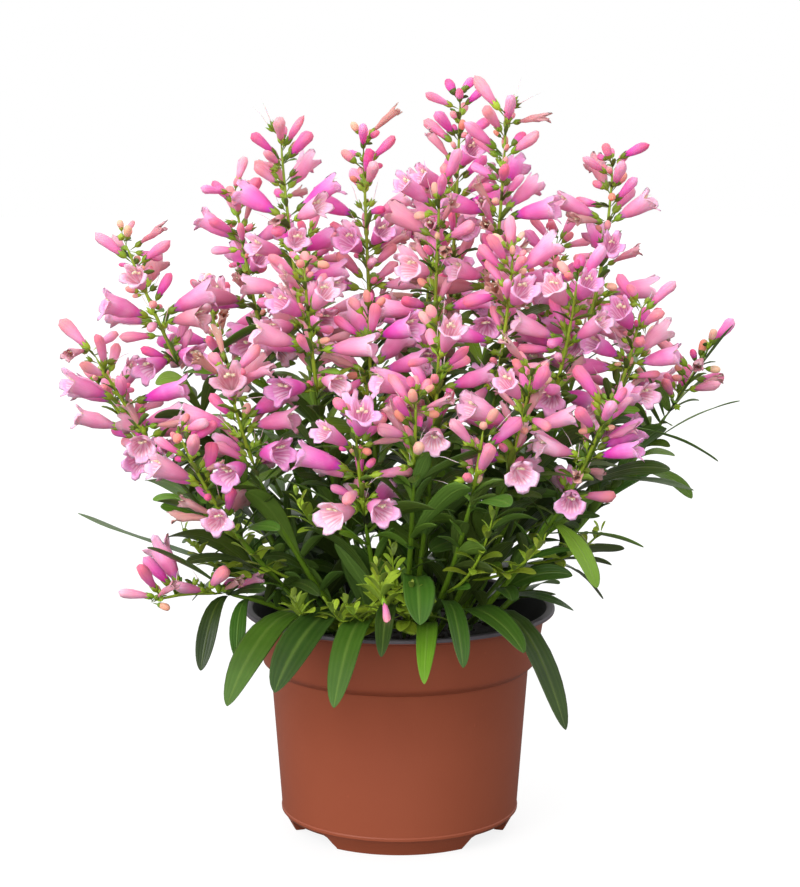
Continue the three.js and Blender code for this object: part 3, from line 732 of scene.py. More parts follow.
    def keep(self, item: Leaf | Bloom, node: str, kept: list[Leaf] | list[Bloom]) -> bool:
        """Keeps a leaf or bloom where there is room for it, and tells whether it was kept."""
        balls = item.balls(node)
        free = self.thicket.is_free(balls)
        if free:
            self.thicket.add(balls)
            kept.append(item)
        return free

    def grow_leaves(self, stem: Stem, draw: Draw) -> None:
        """Grows opposite pairs of leaves up a stem, each pair across the one below."""
        leafy, ends = stem.leafy, self.LEAF_ENDS
        rows = evenly(ends.first, leafy.stop - ends.last, self.LEAF_PITCH)
        azimuth = draw.between(0, 360)
        for i, s in enumerate(rows):
            share = i / len(rows)
            azimuth += 90 + draw.between(-self.LEAF_PAIR_SWING, self.LEAF_PAIR_SWING)
            for half in (0, 180):
                for attempt in range(self.LEAF_TRIES):
                    swing = self.LEAF_SWING * (attempt + 1)
                    reach = self.LEAF_LENGTH.at(share) * draw.between(*self.LEAF_LENGTH_VARY)
                    heading = azimuth + half + draw.between(-swing, swing)
                    toward = aim(heading, draw.between(*self.LEAF_LIFT))
                    base = stem.curve.at(s)
                    rise = reach * draw.between(*self.LEAF_RISE)
                    width = self.LEAF_WIDTH.at(share) * draw.between(*self.LEAF_WIDTH_VARY)
                    roll = draw.between(-self.LEAF_ROLL, self.LEAF_ROLL)
                    leaf = Leaf(base, base.plus(toward, reach), rise, width, roll)
                    if self.keep(leaf, leafy.node, leafy.leaves):
                        break


@dataclass
class Filling:
    """Fills the room that is left with what is too small for the solids."""

    planting: Planting
    shoot_seed: int = 300
    leaf_seed: int = 400
    bloom_seed: int = 500
    bract_seed: int = 600
    all_round: Span = Span(0, 360)

    leaf_ends: Span = Span(8, 2)
    leaf_pitch: float = 8.0
    leaf_tries: int = 4
    leaf_length: Span = Span(52, 24)
    leaf_vary: Span = Span(0.5, 1.1)
    leaf_lift: Span = Span(0, 60)
    leaf_slimness: Span = Span(0.17, 0.26)
    leaf_least_width: float = 1.0
    leaf_arch: Span = Span(0.03, 0.16)
    leaf_roll: Span = Span(-50, 50)

    bract_ends: Span = Span(2, 3)
    bract_pitch: float = 11.0
    bract_tries: int = 3
    bract_length: Span = Span(19, 6)
    bract_vary: Span = Span(0.6, 1.2)
    bract_lift: Span = Span(5, 60)
    bract_width: Span = Span(3.6, 1.9)
    bract_width_vary: Span = Span(0.8, 1.2)
    bract_arch: float = 0.1
    bract_roll: Span = Span(-40, 40)

    bloom_ends: Span = Span(3, 1)
    bloom_pitch: float = 8.0
    bloom_places: int = 3
    bloom_tries: int = 4
    bloom_lift: Span = Span(-10, 70)
    bloom_size: Span = Span(0.68, 0.92)
    bloom_kinds: tuple[Kind, ...] = (Kind.SPENT, Kind.SPENT, Kind.BUD, Kind.BUD, Kind.WITHERED)
    smallest_chance: Span = Span(0.06, 0.56)
    smallest_size: Span = Span(0.5, 0.85)

    shoot_lean: float = 0.75
    shoot_bare_share: float = 0.4
    shoot_pitch: float = 5.5
    shoot_swing: Span = Span(-12, 12)
    shoot_least_leaf: float = 6.0
    shoot_vary: Span = Span(0.75, 1.1)
    shoot_lift: Span = Span(0, 62)
    shoot_slimness: float = 0.27
    shoot_least_width: float = 0.8
    shoot_arch: float = 0.14
    shoot_roll: Span = Span(-20, 20)
    shoot_bud_share: float = 0.8
    shoot_bud_size: float = 0.72

    def grow(self) -> None:
        """Grows the young shoots, and then each stem's small leaves and the rest of its spray."""
        stems = self.planting.stems
        for i, spec in enumerate(SHOOTS):
            stem = next(stem for stem in stems if stem.name == spec.stem)
            self.shoot(stem, spec, random.Random(self.shoot_seed + i))
        for i, stem in enumerate(stems):
            self.leaves(stem, random.Random(self.leaf_seed + i))
        for i, stem in enumerate(stems):
            self.side_blooms(stem, random.Random(self.bloom_seed + i))
            self.bracts(stem, random.Random(self.bract_seed + i))

    def shoot(self, stem: Stem, spec: ShootSpec, dice: random.Random) -> None:
        """Grows a young side shoot with crossed pairs of narrow leaves, smallest at its tip.

        Args:
            stem: The stem that bears it.
            spec: Its place and size.
            dice: Its own row of chances.
        """
        foot, tip, lean = stem.curve.at(spec.share * stem.leafy.stop), spec.tip, self.shoot_lean
        x, y, z = blend(foot.x, tip.x, lean), blend(foot.y, tip.y, lean), blend(foot.z, tip.z, 1 - lean)
        shoot = Shoot(Curve(foot, Point(x, y, z), tip))
        azimuth = self.all_round.draw(dice)
        first, last = self.shoot_bare_share * shoot.curve.length, shoot.curve.length - 1
        length = Span(spec.leaf, self.shoot_least_leaf)
        for s in evenly(first, last, self.shoot_pitch):
            share = (s - first) / (last - first)
            azimuth += 90 + self.shoot_swing.draw(dice)
            for half in (0, 180):
                reach = length.at(share) * self.shoot_vary.draw(dice)
                toward = aim(azimuth + half, self.shoot_lift.at(share) + self.shoot_swing.draw(dice))
                base = shoot.curve.at(s)
                width = reach * self.shoot_slimness + self.shoot_least_width
                rise, roll = reach * self.shoot_arch, self.shoot_roll.draw(dice)
                shoot.leaves.append(Leaf(base, base.plus(toward, reach), rise, width, roll))
        for leaf in shoot.leaves:
            self.planting.thicket.add(leaf.balls(stem.leafy.node))
        stem.leafy.shoots.append(shoot)
        if spec.bud:
            base = shoot.curve.at(self.shoot_bud_share * shoot.curve.length)
            stem.spray.blooms.append(Bloom(Kind.BUD, base, spec.bud.unit(), self.shoot_bud_size))

    def leaves(self, stem: Stem, dice: random.Random) -> None:
        """Adds pairs of smaller leaves between the large ones."""
        leafy, ends = stem.leafy, self.leaf_ends
        for s in evenly(ends.first, leafy.stop - ends.last, self.leaf_pitch):
            for _ in range(2):
                for _ in range(self.leaf_tries):
                    reach = self.leaf_length.at(s / leafy.stop) * self.leaf_vary.draw(dice)
                    toward = aim(self.all_round.draw(dice), self.leaf_lift.draw(dice))
                    base = stem.curve.at(s)
                    width = reach * self.leaf_slimness.draw(dice) + self.leaf_least_width
                    rise, roll = reach * self.leaf_arch.draw(dice), self.leaf_roll.draw(dice)
                    leaf = Leaf(base, base.plus(toward, reach), rise, width, roll)
                    if self.planting.keep(leaf, leafy.node, leafy.small_leaves):
                        break

    def bracts(self, stem: Stem, dice: random.Random) -> None:
        """Adds narrow leaves along a spray, shorter towards its tip."""
        spray, ends = stem.spray, self.bract_ends
        for s in evenly(spray.start + ends.first, spray.stop - ends.last, self.bract_pitch):
            share = (s - spray.start) / (spray.stop - spray.start)
            for _ in range(2):
                for _ in range(self.bract_tries):
                    reach = self.bract_length.at(share) * self.bract_vary.draw(dice)
                    base = stem.curve.at(s)
                    tip = base.plus(aim(self.all_round.draw(dice), self.bract_lift.draw(dice)), reach)
                    width = self.bract_width.at(share) * self.bract_width_vary.draw(dice)
                    leaf = Leaf(base, tip, reach * self.bract_arch, width, self.bract_roll.draw(dice))
                    if self.planting.keep(leaf, spray.node, spray.bracts):
                        break

    def side_blooms(self, stem: Stem, dice: random.Random) -> None:
        """Adds spent calyces, withered flowers and the smallest buds to a spray."""
        spray, ends = stem.spray, self.bloom_ends
        for s in evenly(spray.start + ends.first, spray.stop - ends.last, self.bloom_pitch):
            share = (s - spray.start) / (spray.stop - spray.start)
            for _ in range(self.bloom_places):
                smallest = dice.random() < self.smallest_chance.at(share)
                kind = Kind.YOUNG if smallest else dice.choice(self.bloom_kinds)
                size = (self.smallest_size if smallest else self.bloom_size).draw(dice)
                for _ in range(self.bloom_tries):
                    toward = aim(self.all_round.draw(dice), self.bloom_lift.draw(dice))
                    bloom = Bloom(kind, stem.curve.at(s), toward, size)
                    if self.planting.keep(bloom, spray.node, spray.blooms):
                        break


class Signal:
    """A socket in a material that takes part in plain arithmetic."""

    def __init__(self, board: "Board", socket: bpy.types.NodeSocket) -> None:
        """Wraps an output socket."""
        self.board = board
        self.socket = socket

    def maths(self, operation: str, *values: "Signal | float") -> "Signal":
        """Adds a Math node on the given values."""
        return self.board.add("ShaderNodeMath", {"operation": operation}, dict(enumerate(values)))

    def __add__(self, other: "Signal | float") -> "Signal":
        """This plus other."""
        return self.maths("ADD", self, other)

    def __radd__(self, other: float) -> "Signal":
        """Other plus this."""
        return self.maths("ADD", other, self)

    def __sub__(self, other: "Signal | float") -> "Signal":
        """This less other."""
        return self.maths("SUBTRACT", self, other)

    def __rsub__(self, other: float) -> "Signal":
        """Other less this."""
        return self.maths("SUBTRACT", other, self)

    def __mul__(self, other: "Signal | float") -> "Signal":
        """This times other."""
        return self.maths("MULTIPLY", self, other)

    def __rmul__(self, other: float) -> "Signal":
        """Other times this."""
        return self.maths("MULTIPLY", other, self)

    def __abs__(self) -> "Signal":
        """This without its sign."""
        return self.maths("ABSOLUTE", self)

    def wave(self, turns: float) -> "Signal":
        """A sine of this, rising and falling a number of times between 0 and 1."""
        return self.maths("SINE", self * (turns * FULL_TURN)) * 0.5 + 0.5

    def between(self, low: float, high: float) -> "Signal":
        """0 below low and 1 above high, eased in between; the other way round if low is higher."""
        settings = {"interpolation_type": "SMOOTHSTEP"}
        if low < high:
            return self.board.add("ShaderNodeMapRange", settings, {0: self, 1: low, 2: high})
        return 1 - self.between(high, low)


Amount = Signal | float
Colour = tuple[float, float, float]


def srgb(red: int, green: int, blue: int) -> Colour:
    """A colour as it is seen, turned into the light it sends back."""

    def linear(value: int) -> float:
        """One channel of it."""
        share = value / 255
        return share / 12.92 if share <= 0.04045 else ((share + 0.055) / 1.055) ** 2.4

    return linear(red), linear(green), linear(blue)


class Board:
    """The node tree of one material, put together in Python."""

    def __init__(self, name: str) -> None:
        """Starts a material with nothing but its output."""
        self.material = bpy.data.materials.new(name)
        self.material.use_nodes = True
        self.tree = self.material.node_tree
        self.tree.nodes.clear()

    def add(
        self,
        kind: str,
        settings: dict[str, object] | None = None,
        inputs: dict[int | str, object] | None = None,
        output: int | str = 0,
    ) -> Signal:
        """Adds any node.

        Args:
            kind: The node's type.
            settings: Its own settings, with a ramp's colours under "stops".
            inputs: Values or signals for its sockets.
            output: The socket that is wanted from it.

        Returns:
            The signal of that socket.
        """
        node = self.tree.nodes.new(kind)
        for name, value in (settings or {}).items():
            if name == "stops":
                self.set_stops(node.color_ramp, value)
            else:
                setattr(node, name, value)
        for key, value in (inputs or {}).items():
            self.feed(node.inputs[key], value)
        return Signal(self, node.outputs[output])

    def set_stops(self, ramp: bpy.types.ColorRamp, stops: list[tuple[float, Colour]]) -> None:
        """Sets the colours of a ramp."""
        while len(ramp.elements) < len(stops):
            ramp.elements.new(1.0)
        for element, (place, colour) in zip(ramp.elements, stops):
            element.position = place
            element.color = (*colour, 1.0)

    def feed(self, socket: bpy.types.NodeSocket, value: object) -> None:
        """Links a signal to a socket, or sets its value."""
        if isinstance(value, Signal):
            self.tree.links.new(value.socket, socket)
        elif isinstance(value, tuple) and len(value) == 3 and socket.type == "RGBA":
            socket.default_value = (*value, 1.0)
        else:
            socket.default_value = value

    def mark(self, name: str) -> Signal:
        """A number that each point of the piece carries."""
        return self.add("ShaderNodeAttribute", {"attribute_name": name}, output="Fac")

    def place(self, scale: Colour = (1.0, 1.0, 1.0)) -> Signal:
        """The object's own coordinates, stretched."""
        here = self.add("ShaderNodeTexCoord", output="Object")
        return self.add("ShaderNodeMapping", {}, {"Vector": here, "Scale": scale})

    def grain(self, scale: float, detail: float = 3.0, stretch: Colour = (1.0, 1.0, 1.0)) -> Signal:
        """Soft noise between 0 and 1, in the object's own coordinates."""
        inputs = {"Vector": self.place(stretch), "Scale": scale, "Detail": detail}
        return self.add("ShaderNodeTexNoise", {}, inputs)

    def mix(self, share: Signal, first: Signal | Colour, second: Signal | Colour) -> Signal:
        """A colour between two others."""
        settings = {"data_type": "RGBA", "clamp_factor": True}
        return self.add("ShaderNodeMix", settings, {0: share, 6: first, 7: second}, output=2)

    def tone(self, colour: Signal, hue: Amount, strength: Amount, value: Amount) -> Signal:
        """A colour with its hue, strength and brightness changed."""
        inputs = {"Hue": hue, "Saturation": strength, "Value": value, "Color": colour}
        return self.add("ShaderNodeHueSaturation", {}, inputs)

    def relief(self, height: Signal, distance: float, strength: float = 1.0) -> Signal:
        """A bump from a height between 0 and 1, whose full depth is a distance in metres."""
        inputs = {"Height": height, "Distance": distance, "Strength": strength}
        return self.add("ShaderNodeBump", {}, inputs)

    def surface(self, inputs: dict[str, object]) -> bpy.types.Material:
        """Ends the tree in a Principled surface and returns the finished material."""
        shader = self.add("ShaderNodeBsdfPrincipled", {}, inputs)
        out = self.tree.nodes.new("ShaderNodeOutputMaterial")
        self.tree.links.new(shader.socket, out.inputs["Surface"])
        return self.material


@dataclass(frozen=True)
class PetalFinish:
    """Satin petals: violet at the calyx, pink along the tube, paler at the lips and throat."""

    violet: Colour = srgb(168, 84, 200)
    deep_pink: Colour = srgb(224, 96, 168)
    pink: Colour = srgb(242, 132, 192)
    pale_pink: Colour = srgb(250, 188, 222)
    throat: Colour = srgb(252, 218, 234)
    stripe: Colour = srgb(206, 84, 146)
    coral: Colour = srgb(238, 108, 124)
    peach: Colour = srgb(238, 178, 146)
    cream: Colour = srgb(244, 230, 196)
    straw: Colour = srgb(196, 146, 118)

    def material(self) -> bpy.types.Material:
        """Builds the material."""
        board = Board("petal_satin")
        along, tint, fade = board.mark("along"), board.mark("tint"), board.mark("fade")
        inner, age, organ = board.mark("inner"), board.mark("age"), board.mark("organ")
        stops = [(0.26, self.violet), (0.42, self.deep_pink), (0.68, self.pink), (0.98, self.pale_pink)]
        tube = board.add("ShaderNodeValToRGB", {"stops": stops}, {0: along})
        clouds, drift = board.grain(75.0, 4.0), board.grain(16.0, 2.0)
        paler = board.mix(clouds.between(0.45, 0.8) * 0.6, tube, self.pale_pink)
        stripes = board.mark("around").wave(1.5).between(0.6, 0.9)
        inside = board.mix(stripes * 0.5, self.throat, self.stripe)
        flower = board.mix(inner.between(0.35, 0.9), paler, inside)
        tip = along.between(0.5, 1.0) * age.between(0.2, 0.5)
        seam = board.mark("around").between(0.7, 1.0) * along.between(0.55, 0.9) * age.between(0.1, 0.3)
        coral = board.mix(tip * 0.85, flower, self.coral)
        bud = board.mix(seam * 0.35, coral, self.stripe)
        young = board.mix(age.between(0.6, 0.9), bud, self.peach)
        hue = 0.464 + tint * 0.044 + drift * 0.03
        toned = board.tone(young, hue, 1.16 - tint * 0.34, 0.94 + tint * 0.16 + clouds * 0.1)
        old = board.mix(fade * 0.85, toned, self.straw)
        veins = board.mark("around").wave(4.0)
        veined = board.mix(veins.between(0.6, 1.0) * 0.14, old, self.stripe)
        colour = board.mix(organ.between(0.3, 0.7), veined, self.cream)
        normal = board.relief(veins * 0.4 + board.grain(700.0) * 0.6, 0.0002, 0.4)
        return board.surface(
            {
                "Base Color": colour,
                "Roughness": 0.46 + clouds * 0.16,
                "Normal": normal,
                "Subsurface Weight": 0.2,
                "Subsurface Scale": 0.002,
                "Sheen Weight": 0.1,
                "Specular IOR Level": 0.3,
            }
        )


@dataclass(frozen=True)
class LeafFinish:
    """Glossy leaves with a pale midrib, from dark old ones to yellow-green shoots and stems."""

    old: Colour = srgb(34, 60, 18)
    full: Colour = srgb(64, 102, 26)
    fresh: Colour = srgb(108, 146, 34)
    shoot: Colour = srgb(160, 186, 50)
    under: Colour = srgb(96, 120, 58)
    rib: Colour = srgb(130, 158, 70)

    def material(self) -> bpy.types.Material:
        """Builds the material."""
        board = Board("leaf_gloss")
        tint, age, across = board.mark("tint"), board.mark("age"), board.mark("across")
        stops = [(0.0, self.old), (0.4, self.full), (0.7, self.fresh), (1.0, self.shoot)]
        blade = board.add("ShaderNodeValToRGB", {"stops": stops}, {0: age + (tint - 0.5) * 0.2})
        below = board.mix(board.mark("inner") * 0.5, blade, self.under)
        edge = abs(across)
        rib = edge.between(0.16, 0.02)
        veins = edge.wave(2.5)
        clouds = board.grain(60.0, 4.0)
        veined = board.mix(rib * 0.2 + veins * 0.05, below, self.rib)
        colour = board.tone(veined, 0.482 + tint * 0.026, 1.0, 0.34 + clouds * 0.5 + tint * 0.7)
        height = veins * 0.25 + rib * -0.6 + board.grain(320.0, 3.0) * 0.3
        return board.surface(
            {
                "Base Color": colour,
                "Roughness": 0.3 + clouds * 0.2,
                "Normal": board.relief(height, 0.0006, 0.5),
                "Specular IOR Level": 0.36,
            }
        )


@dataclass(frozen=True)
class PotFinish:
    """Two-layer plastic: satin terracotta brown outside, dark grey inside and on the lip."""

    shell: Colour = srgb(148, 75, 50)
    shell_dark: Colour = srgb(142, 70, 46)
    lining: Colour = srgb(14, 13, 14)
    lip: Colour = srgb(92, 86, 92)

    def material(self) -> bpy.types.Material:
        """Builds the material."""
        board = Board("pot_plastic")
        inner, lip = board.mark("inner"), board.mark("lip")
        clouds = board.grain(9.0, 5.0)
        specks = board.grain(240.0, 3.0).between(0.7, 0.8)
        shade = board.mix(clouds.between(0.3, 0.7), self.shell_dark, self.shell)
        shell = board.tone(shade, 0.5, 1.0, 1.0 + specks * 0.12)
        lined = board.mix(inner.between(0.4, 0.6), shell, self.lining)
        colour = board.mix(lip.between(0.3, 0.7), lined, self.lip)
        grit = board.grain(1400.0, 2.0)
        height = grit * 0.6 + specks * 0.4
        return board.surface(
            {
                "Base Color": colour,
                "Roughness": 0.36 + clouds * 0.1 + grit * 0.08 + inner * 0.34,
                "Normal": board.relief(height, 0.0002, 0.4),
                "Specular IOR Level": 0.32,
            }
        )


@dataclass(frozen=True)
class SoilFinish:
    """Moist dark potting soil with lighter fibres and crumbs."""

    peat: Colour = srgb(30, 24, 21)
    dry: Colour = srgb(70, 56, 44)

    def material(self) -> bpy.types.Material:
        """Builds the material."""
        board = Board("potting_soil")
        crumbs, fine = board.grain(260.0, 6.0), board.grain(1100.0, 4.0)
        fibres = board.grain(420.0, 2.0, (1.0, 0.12, 1.0)).between(0.62, 0.72)
        dry = crumbs.between(0.5, 0.75) * 0.5 + fibres * 0.4 + board.mark("tint") * 0.3
        return board.surface(
            {
                "Base Color": board.mix(dry, self.peat, self.dry),
                "Roughness": 0.82 + fine * 0.16,
                "Normal": board.relief(crumbs * 0.7 + fine * 0.3, 0.0015, 0.9),
            }
        )


MARKS = ("along", "around", "across", "tint", "age", "inner", "organ", "fade", "lip", "turn")


class Form:
    """A mesh in the making, whose points carry the marks that the finishes read."""

    carrier = bpy.data.meshes.new("carrier")

    def __init__(self, blank: bpy.types.Mesh | None = None) -> None:
        """Starts an empty form, or a copy of a blank."""
        self.bm = bmesh.new()
        self.ring: list[bmesh.types.BMVert] = []
        if blank:
            self.bm.from_mesh(blank)
        else:
            for name in MARKS:
                self.bm.verts.layers.float.new(name)

    def mark(self, verts: Iterable[bmesh.types.BMVert], **values: float) -> None:
        """Writes marks on some points."""
        layers = {self.bm.verts.layers.float[name]: value for name, value in values.items()}
        for vert in verts:
            for layer, value in layers.items():
                vert[layer] = value

    def add_ring(self, place: Callable[[float], Vector], segments: int = 10, **marks: float) -> None:
        """Adds a ring of a tube: first a circle, and after that each is extruded from the last.

        Args:
            place: Gives the place of a point of the ring from its angle.
            segments: How many points a first ring has.
            **marks: The marks that the ring's points carry.
        """
        turn = self.bm.verts.layers.float["turn"]
        if self.ring:
            grown = bmesh.ops.extrude_edge_only(self.bm, edges=self.rim())["geom"]
            self.ring = [item for item in grown if isinstance(item, bmesh.types.BMVert)]
        else:
            made = bmesh.ops.create_circle(self.bm, segments=segments, radius=1.0)
            self.ring = self.foot = made["verts"]
            for vert in self.ring:
                vert[turn] = math.atan2(vert.co.y, vert.co.x) % FULL_TURN
        for vert in self.ring:
            vert.co = place(vert[turn])
        self.mark(self.ring, **marks)

    def rim(self) -> list[bmesh.types.BMEdge]:
        """The edges of the newest ring."""
        held = set(self.ring)
        edges = dict.fromkeys(edge for vert in self.ring for edge in vert.link_edges)
        return [edge for edge in edges if all(vert in held for vert in edge.verts)]

    def split_ring(self, place: Callable[[float], Vector]) -> None:
        """Doubles the number of points of the newest ring."""
        halves = bmesh.ops.bisect_edges(self.bm, edges=self.rim(), cuts=1)["geom_split"]
        edges = (item for item in halves if isinstance(item, bmesh.types.BMEdge))
        self.ring = list(dict.fromkeys(vert for edge in edges for vert in edge.verts))
        turn = self.bm.verts.layers.float["turn"]
        for vert in self.ring:
            vert[turn] = math.atan2(vert.co.y, vert.co.x) % FULL_TURN
            vert.co = place(vert[turn])

    def close_ring(self, end: Vector) -> None:
        """Draws the last ring together to a point."""
        bmesh.ops.pointmerge(self.bm, verts=self.ring, merge_co=end)

    def close_foot(self) -> None:
        """Draws the first ring together to its own middle."""
        middle = sum((vert.co for vert in self.foot), Vector()) / len(self.foot)
        bmesh.ops.pointmerge(self.bm, verts=self.foot, merge_co=middle)

    def tube(self, points: list[Vector], radii: list[float], sides: int, **marks: float) -> None:
        """Sweeps a round tube along a row of points, closed at both ends.

        Args:
            points: The tube's middle line.
            radii: Its radius at each of them.
            sides: How many sides it has.
            **marks: The marks that all of its points carry.
        """
        side = Vector((1.0, 0.0, 0.0))
        self.ring = []
        for i, (centre, radius) in enumerate(zip(points, radii)):
            tangent = (points[min(i + 1, len(points) - 1)] - points[max(i - 1, 0)]).normalized()
            side = (side - tangent * side.dot(tangent)).normalized()
            up = tangent.cross(side)

            def place(turn: float) -> Vector:
                """A point of this ring."""
                return centre + side * (radius * math.cos(turn)) + up * (radius * math.sin(turn))

            self.add_ring(place, sides, along=i / (len(points) - 1), **marks)
        self.close_ring(points[-1])
        self.close_foot()

    def stamp(self, blank: bpy.types.Mesh, place: Callable[[Vector], Vector], **marks: float) -> None:
        """Adds a copy of a blank, with each of its points moved into place."""
        copy = Form(blank)
        for vert in copy.bm.verts:
            vert.co = place(vert.co)
        copy.mark(copy.bm.verts, **marks)
        copy.bm.to_mesh(self.carrier)
        copy.bm.free()
        self.bm.from_mesh(self.carrier)

    def outward(self) -> None:
        """Turns all faces outwards."""
        bmesh.ops.recalc_face_normals(self.bm, faces=self.bm.faces)

    def blank(self, name: str) -> bpy.types.Mesh:
        """Turns the form into a mesh that is copied many times."""
        self.outward()
        mesh = bpy.data.meshes.new(name)
        self.bm.to_mesh(mesh)
        self.bm.free()
        return mesh

    def piece(
        self, name: str, material: bpy.types.Material, crease: float = 180.0, levels: int = 0
    ) -> bpy.types.Object:
        """Turns the form into a finished object at the origin.

        Args:
            name: The object's name.
            material: Its finish.
            crease: The angle in degrees past which an edge stays sharp.
            levels: How often its faces are subdivided and smoothed.

        Returns:
            The object, linked to the scene.
        """
        mesh = bpy.data.meshes.new(name)
        self.bm.to_mesh(mesh)
        self.bm.free()
        mesh.materials.append(material)
        mesh.shade_smooth()
        mesh.set_sharp_from_angle(angle=math.radians(crease))
        thing = bpy.data.objects.new(name, mesh)
        if levels:
            rounding = thing.modifiers.new("rounding", "SUBSURF")
            rounding.levels = rounding.render_levels = levels
        bpy.context.scene.collection.objects.link(thing)
        return thing


def settle(thing: bpy.types.Object, node: str, slot: str) -> None:
    """Lets a piece ride on the plant and stand for a solid, whose own part is hidden."""
    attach(thing, "root")
    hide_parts(node)


def lobe_share(turn: float, first: float = FIRST_PETAL, power: float = 1.0) -> float:
    """1 in the middle of a lobe and 0 in the notch between two, for an angle round a mouth."""
    return abs(math.cos((turn - math.radians(first)) * LOBES / 2)) ** power


def round_ring(radius: float, reach: float, scale: float = 1.0) -> Callable[[float], Vector]:
    """A level round ring."""
    return lambda turn: Vector((radius * math.cos(turn), radius * math.sin(turn), reach)) * scale


class LipRing(NamedTuple):
    """How far out a ring of the lips goes in the notches, the upper lobes and the lower lobes."""

    notch: tuple[float, float]
    upper: tuple[float, float]
    lower: tuple[float, float]
    along: float
    inner: float


@dataclass
class CorollaShape:
    """The tube and lips of an open flower, as reach and radius along its axis, in millimetres."""

    segments: int = 10
    length: float = 32.0
    belly: float = 0.1
    tube: tuple[tuple[float, float], ...] = (
        (7.4, 1.1),
        (10.4, 1.7),
        (14.4, 3.1),
        (19.6, 4.3),
        (25.0, 4.7),
    )
    lips: tuple[LipRing, ...] = (
        LipRing((26.8, 4.8), (28.8, 4.9), (28.2, 5.2), 0.88, 0.0),
        LipRing((27.5, 5.0), (31.6, 5.4), (30.2, 6.7), 0.95, 0.0),
        LipRing((27.6, 5.0), (33.0, 6.5), (30.2, 8.3), 1.0, 0.2),
        LipRing((26.7, 4.3), (31.2, 4.8), (29.0, 6.2), 0.95, 0.5),
        LipRing((25.4, 3.9), (27.0, 4.0), (26.4, 4.3), 0.85, 0.8),
    )
    throat: tuple[tuple[float, float], ...] = ((21.0, 3.5), (15.5, 2.3))
    throat_end: float = 11.5
    anthers: tuple[tuple[float, float], ...] = ((-1.4, 26.6), (1.4, 26.6), (0.0, 28.2))
    anther_height: float = 1.9
    anther_size: float = 1.4
    anther_stretch: tuple[float, float, float] = (1.0, 0.7, 1.3)
    style: tuple[tuple[float, float, float], ...] = ((0, 1.6, 20), (0.3, 2.6, 28), (0.5, 1.9, 33))
    style_radius: float = 0.3
    upper_from: float = 0.3
    lobe_power: float = 0.5

    def tube_point(self, turn: float, reach: float, radius: float) -> Vector:
        """A point of the tube, which is a little fuller below."""
        height = radius * math.sin(turn)
        return Vector((radius * math.cos(turn), height * (1 + self.belly * (height < 0)), reach))

    def lip_point(self, turn: float, ring: LipRing) -> Vector:
        """A point of the lips, between the notch and the tip of its lobe."""
        lobe = ring.upper if math.sin(turn) > self.upper_from else ring.lower
        share = lobe_share(turn, power=self.lobe_power)
        reach, radius = (blend(low, high, share) for low, high in zip(ring.notch, lobe))
        return self.tube_point(turn, reach, radius)

    def mark_lobes(self, form: Form) -> None:
        """Marks how far each point of the newest ring is from the middle of its lobe."""
        turn, around = (form.bm.verts.layers.float[name] for name in ("turn", "around"))
        for vert in form.ring:
            vert[around] = 1 - lobe_share(vert[turn])

    def grow(self, form: Form, rows: Iterable[tuple[float, float]], inner: float) -> None:
        """Adds rings of the tube or the throat, as reach and radius."""
        for reach, radius in rows:
            along = reach / self.length
            place = partial(self.tube_point, reach=reach, radius=radius)
            form.add_ring(place, self.segments, along=along, inner=inner)
            self.mark_lobes(form)

    def build(self) -> bpy.types.Mesh:
        """Makes the corolla with its anthers and style."""
        form = Form()
        self.grow(form, self.tube, 0.0)
        form.close_foot()
        reach, radius = self.tube[-1]
        form.split_ring(partial(self.tube_point, reach=reach, radius=radius))
        self.mark_lobes(form)
        for ring in self.lips:
            form.add_ring(partial(self.lip_point, ring=ring), along=ring.along, inner=ring.inner)
            self.mark_lobes(form)
        self.grow(form, self.throat, 1.0)
        form.close_ring(Vector((0, 0, self.throat_end)))
        self.add_anthers(form)
        return form.blank("corolla")

    def add_anthers(self, form: Form) -> None:
        """Adds the anthers under the upper lip, and the style between them."""
        for x, z in self.anthers:
            verts = bmesh.ops.create_cube(form.bm, size=self.anther_size)["verts"]
            bmesh.ops.scale(form.bm, vec=Vector(self.anther_stretch), verts=verts)
            bmesh.ops.translate(form.bm, vec=Vector((x, self.anther_height, z)), verts=verts)
            form.mark(verts, organ=1.0, along=0.9, inner=1.0)
        line = [Vector(spot) for spot in self.style]
        form.tube(line, [self.style_radius] * len(line), 3, organ=0.75, inner=1.0)


@dataclass
class BudShape:
    """A closed bud, as reach and radius along its axis, in millimetres."""

    name: str
    rings: tuple[tuple[float, float], ...]
    tip: float
    segments: int = 10
    ridge: float = 0.1

    def build(self) -> bpy.types.Mesh:
        """Makes the bud, with the folded lobes as five soft ridges towards its tip."""
        form = Form()
        turn_mark, around = (form.bm.verts.layers.float[name] for name in ("turn", "around"))
        for reach, radius in self.rings:
            ridge = self.ridge * (reach / self.tip) ** 2

            def place(turn: float) -> Vector:
                """A point of this ring."""
                r = radius * (1 + ridge * (lobe_share(turn) - 0.5))
                return Vector((r * math.cos(turn), r * math.sin(turn), reach))

            form.add_ring(place, self.segments, along=reach / self.tip)
            for vert in form.ring:
                vert[around] = 1 - lobe_share(vert[turn_mark])
        form.close_ring(Vector((0, 0, self.tip)))
        form.close_foot()
        return form.blank(self.name)


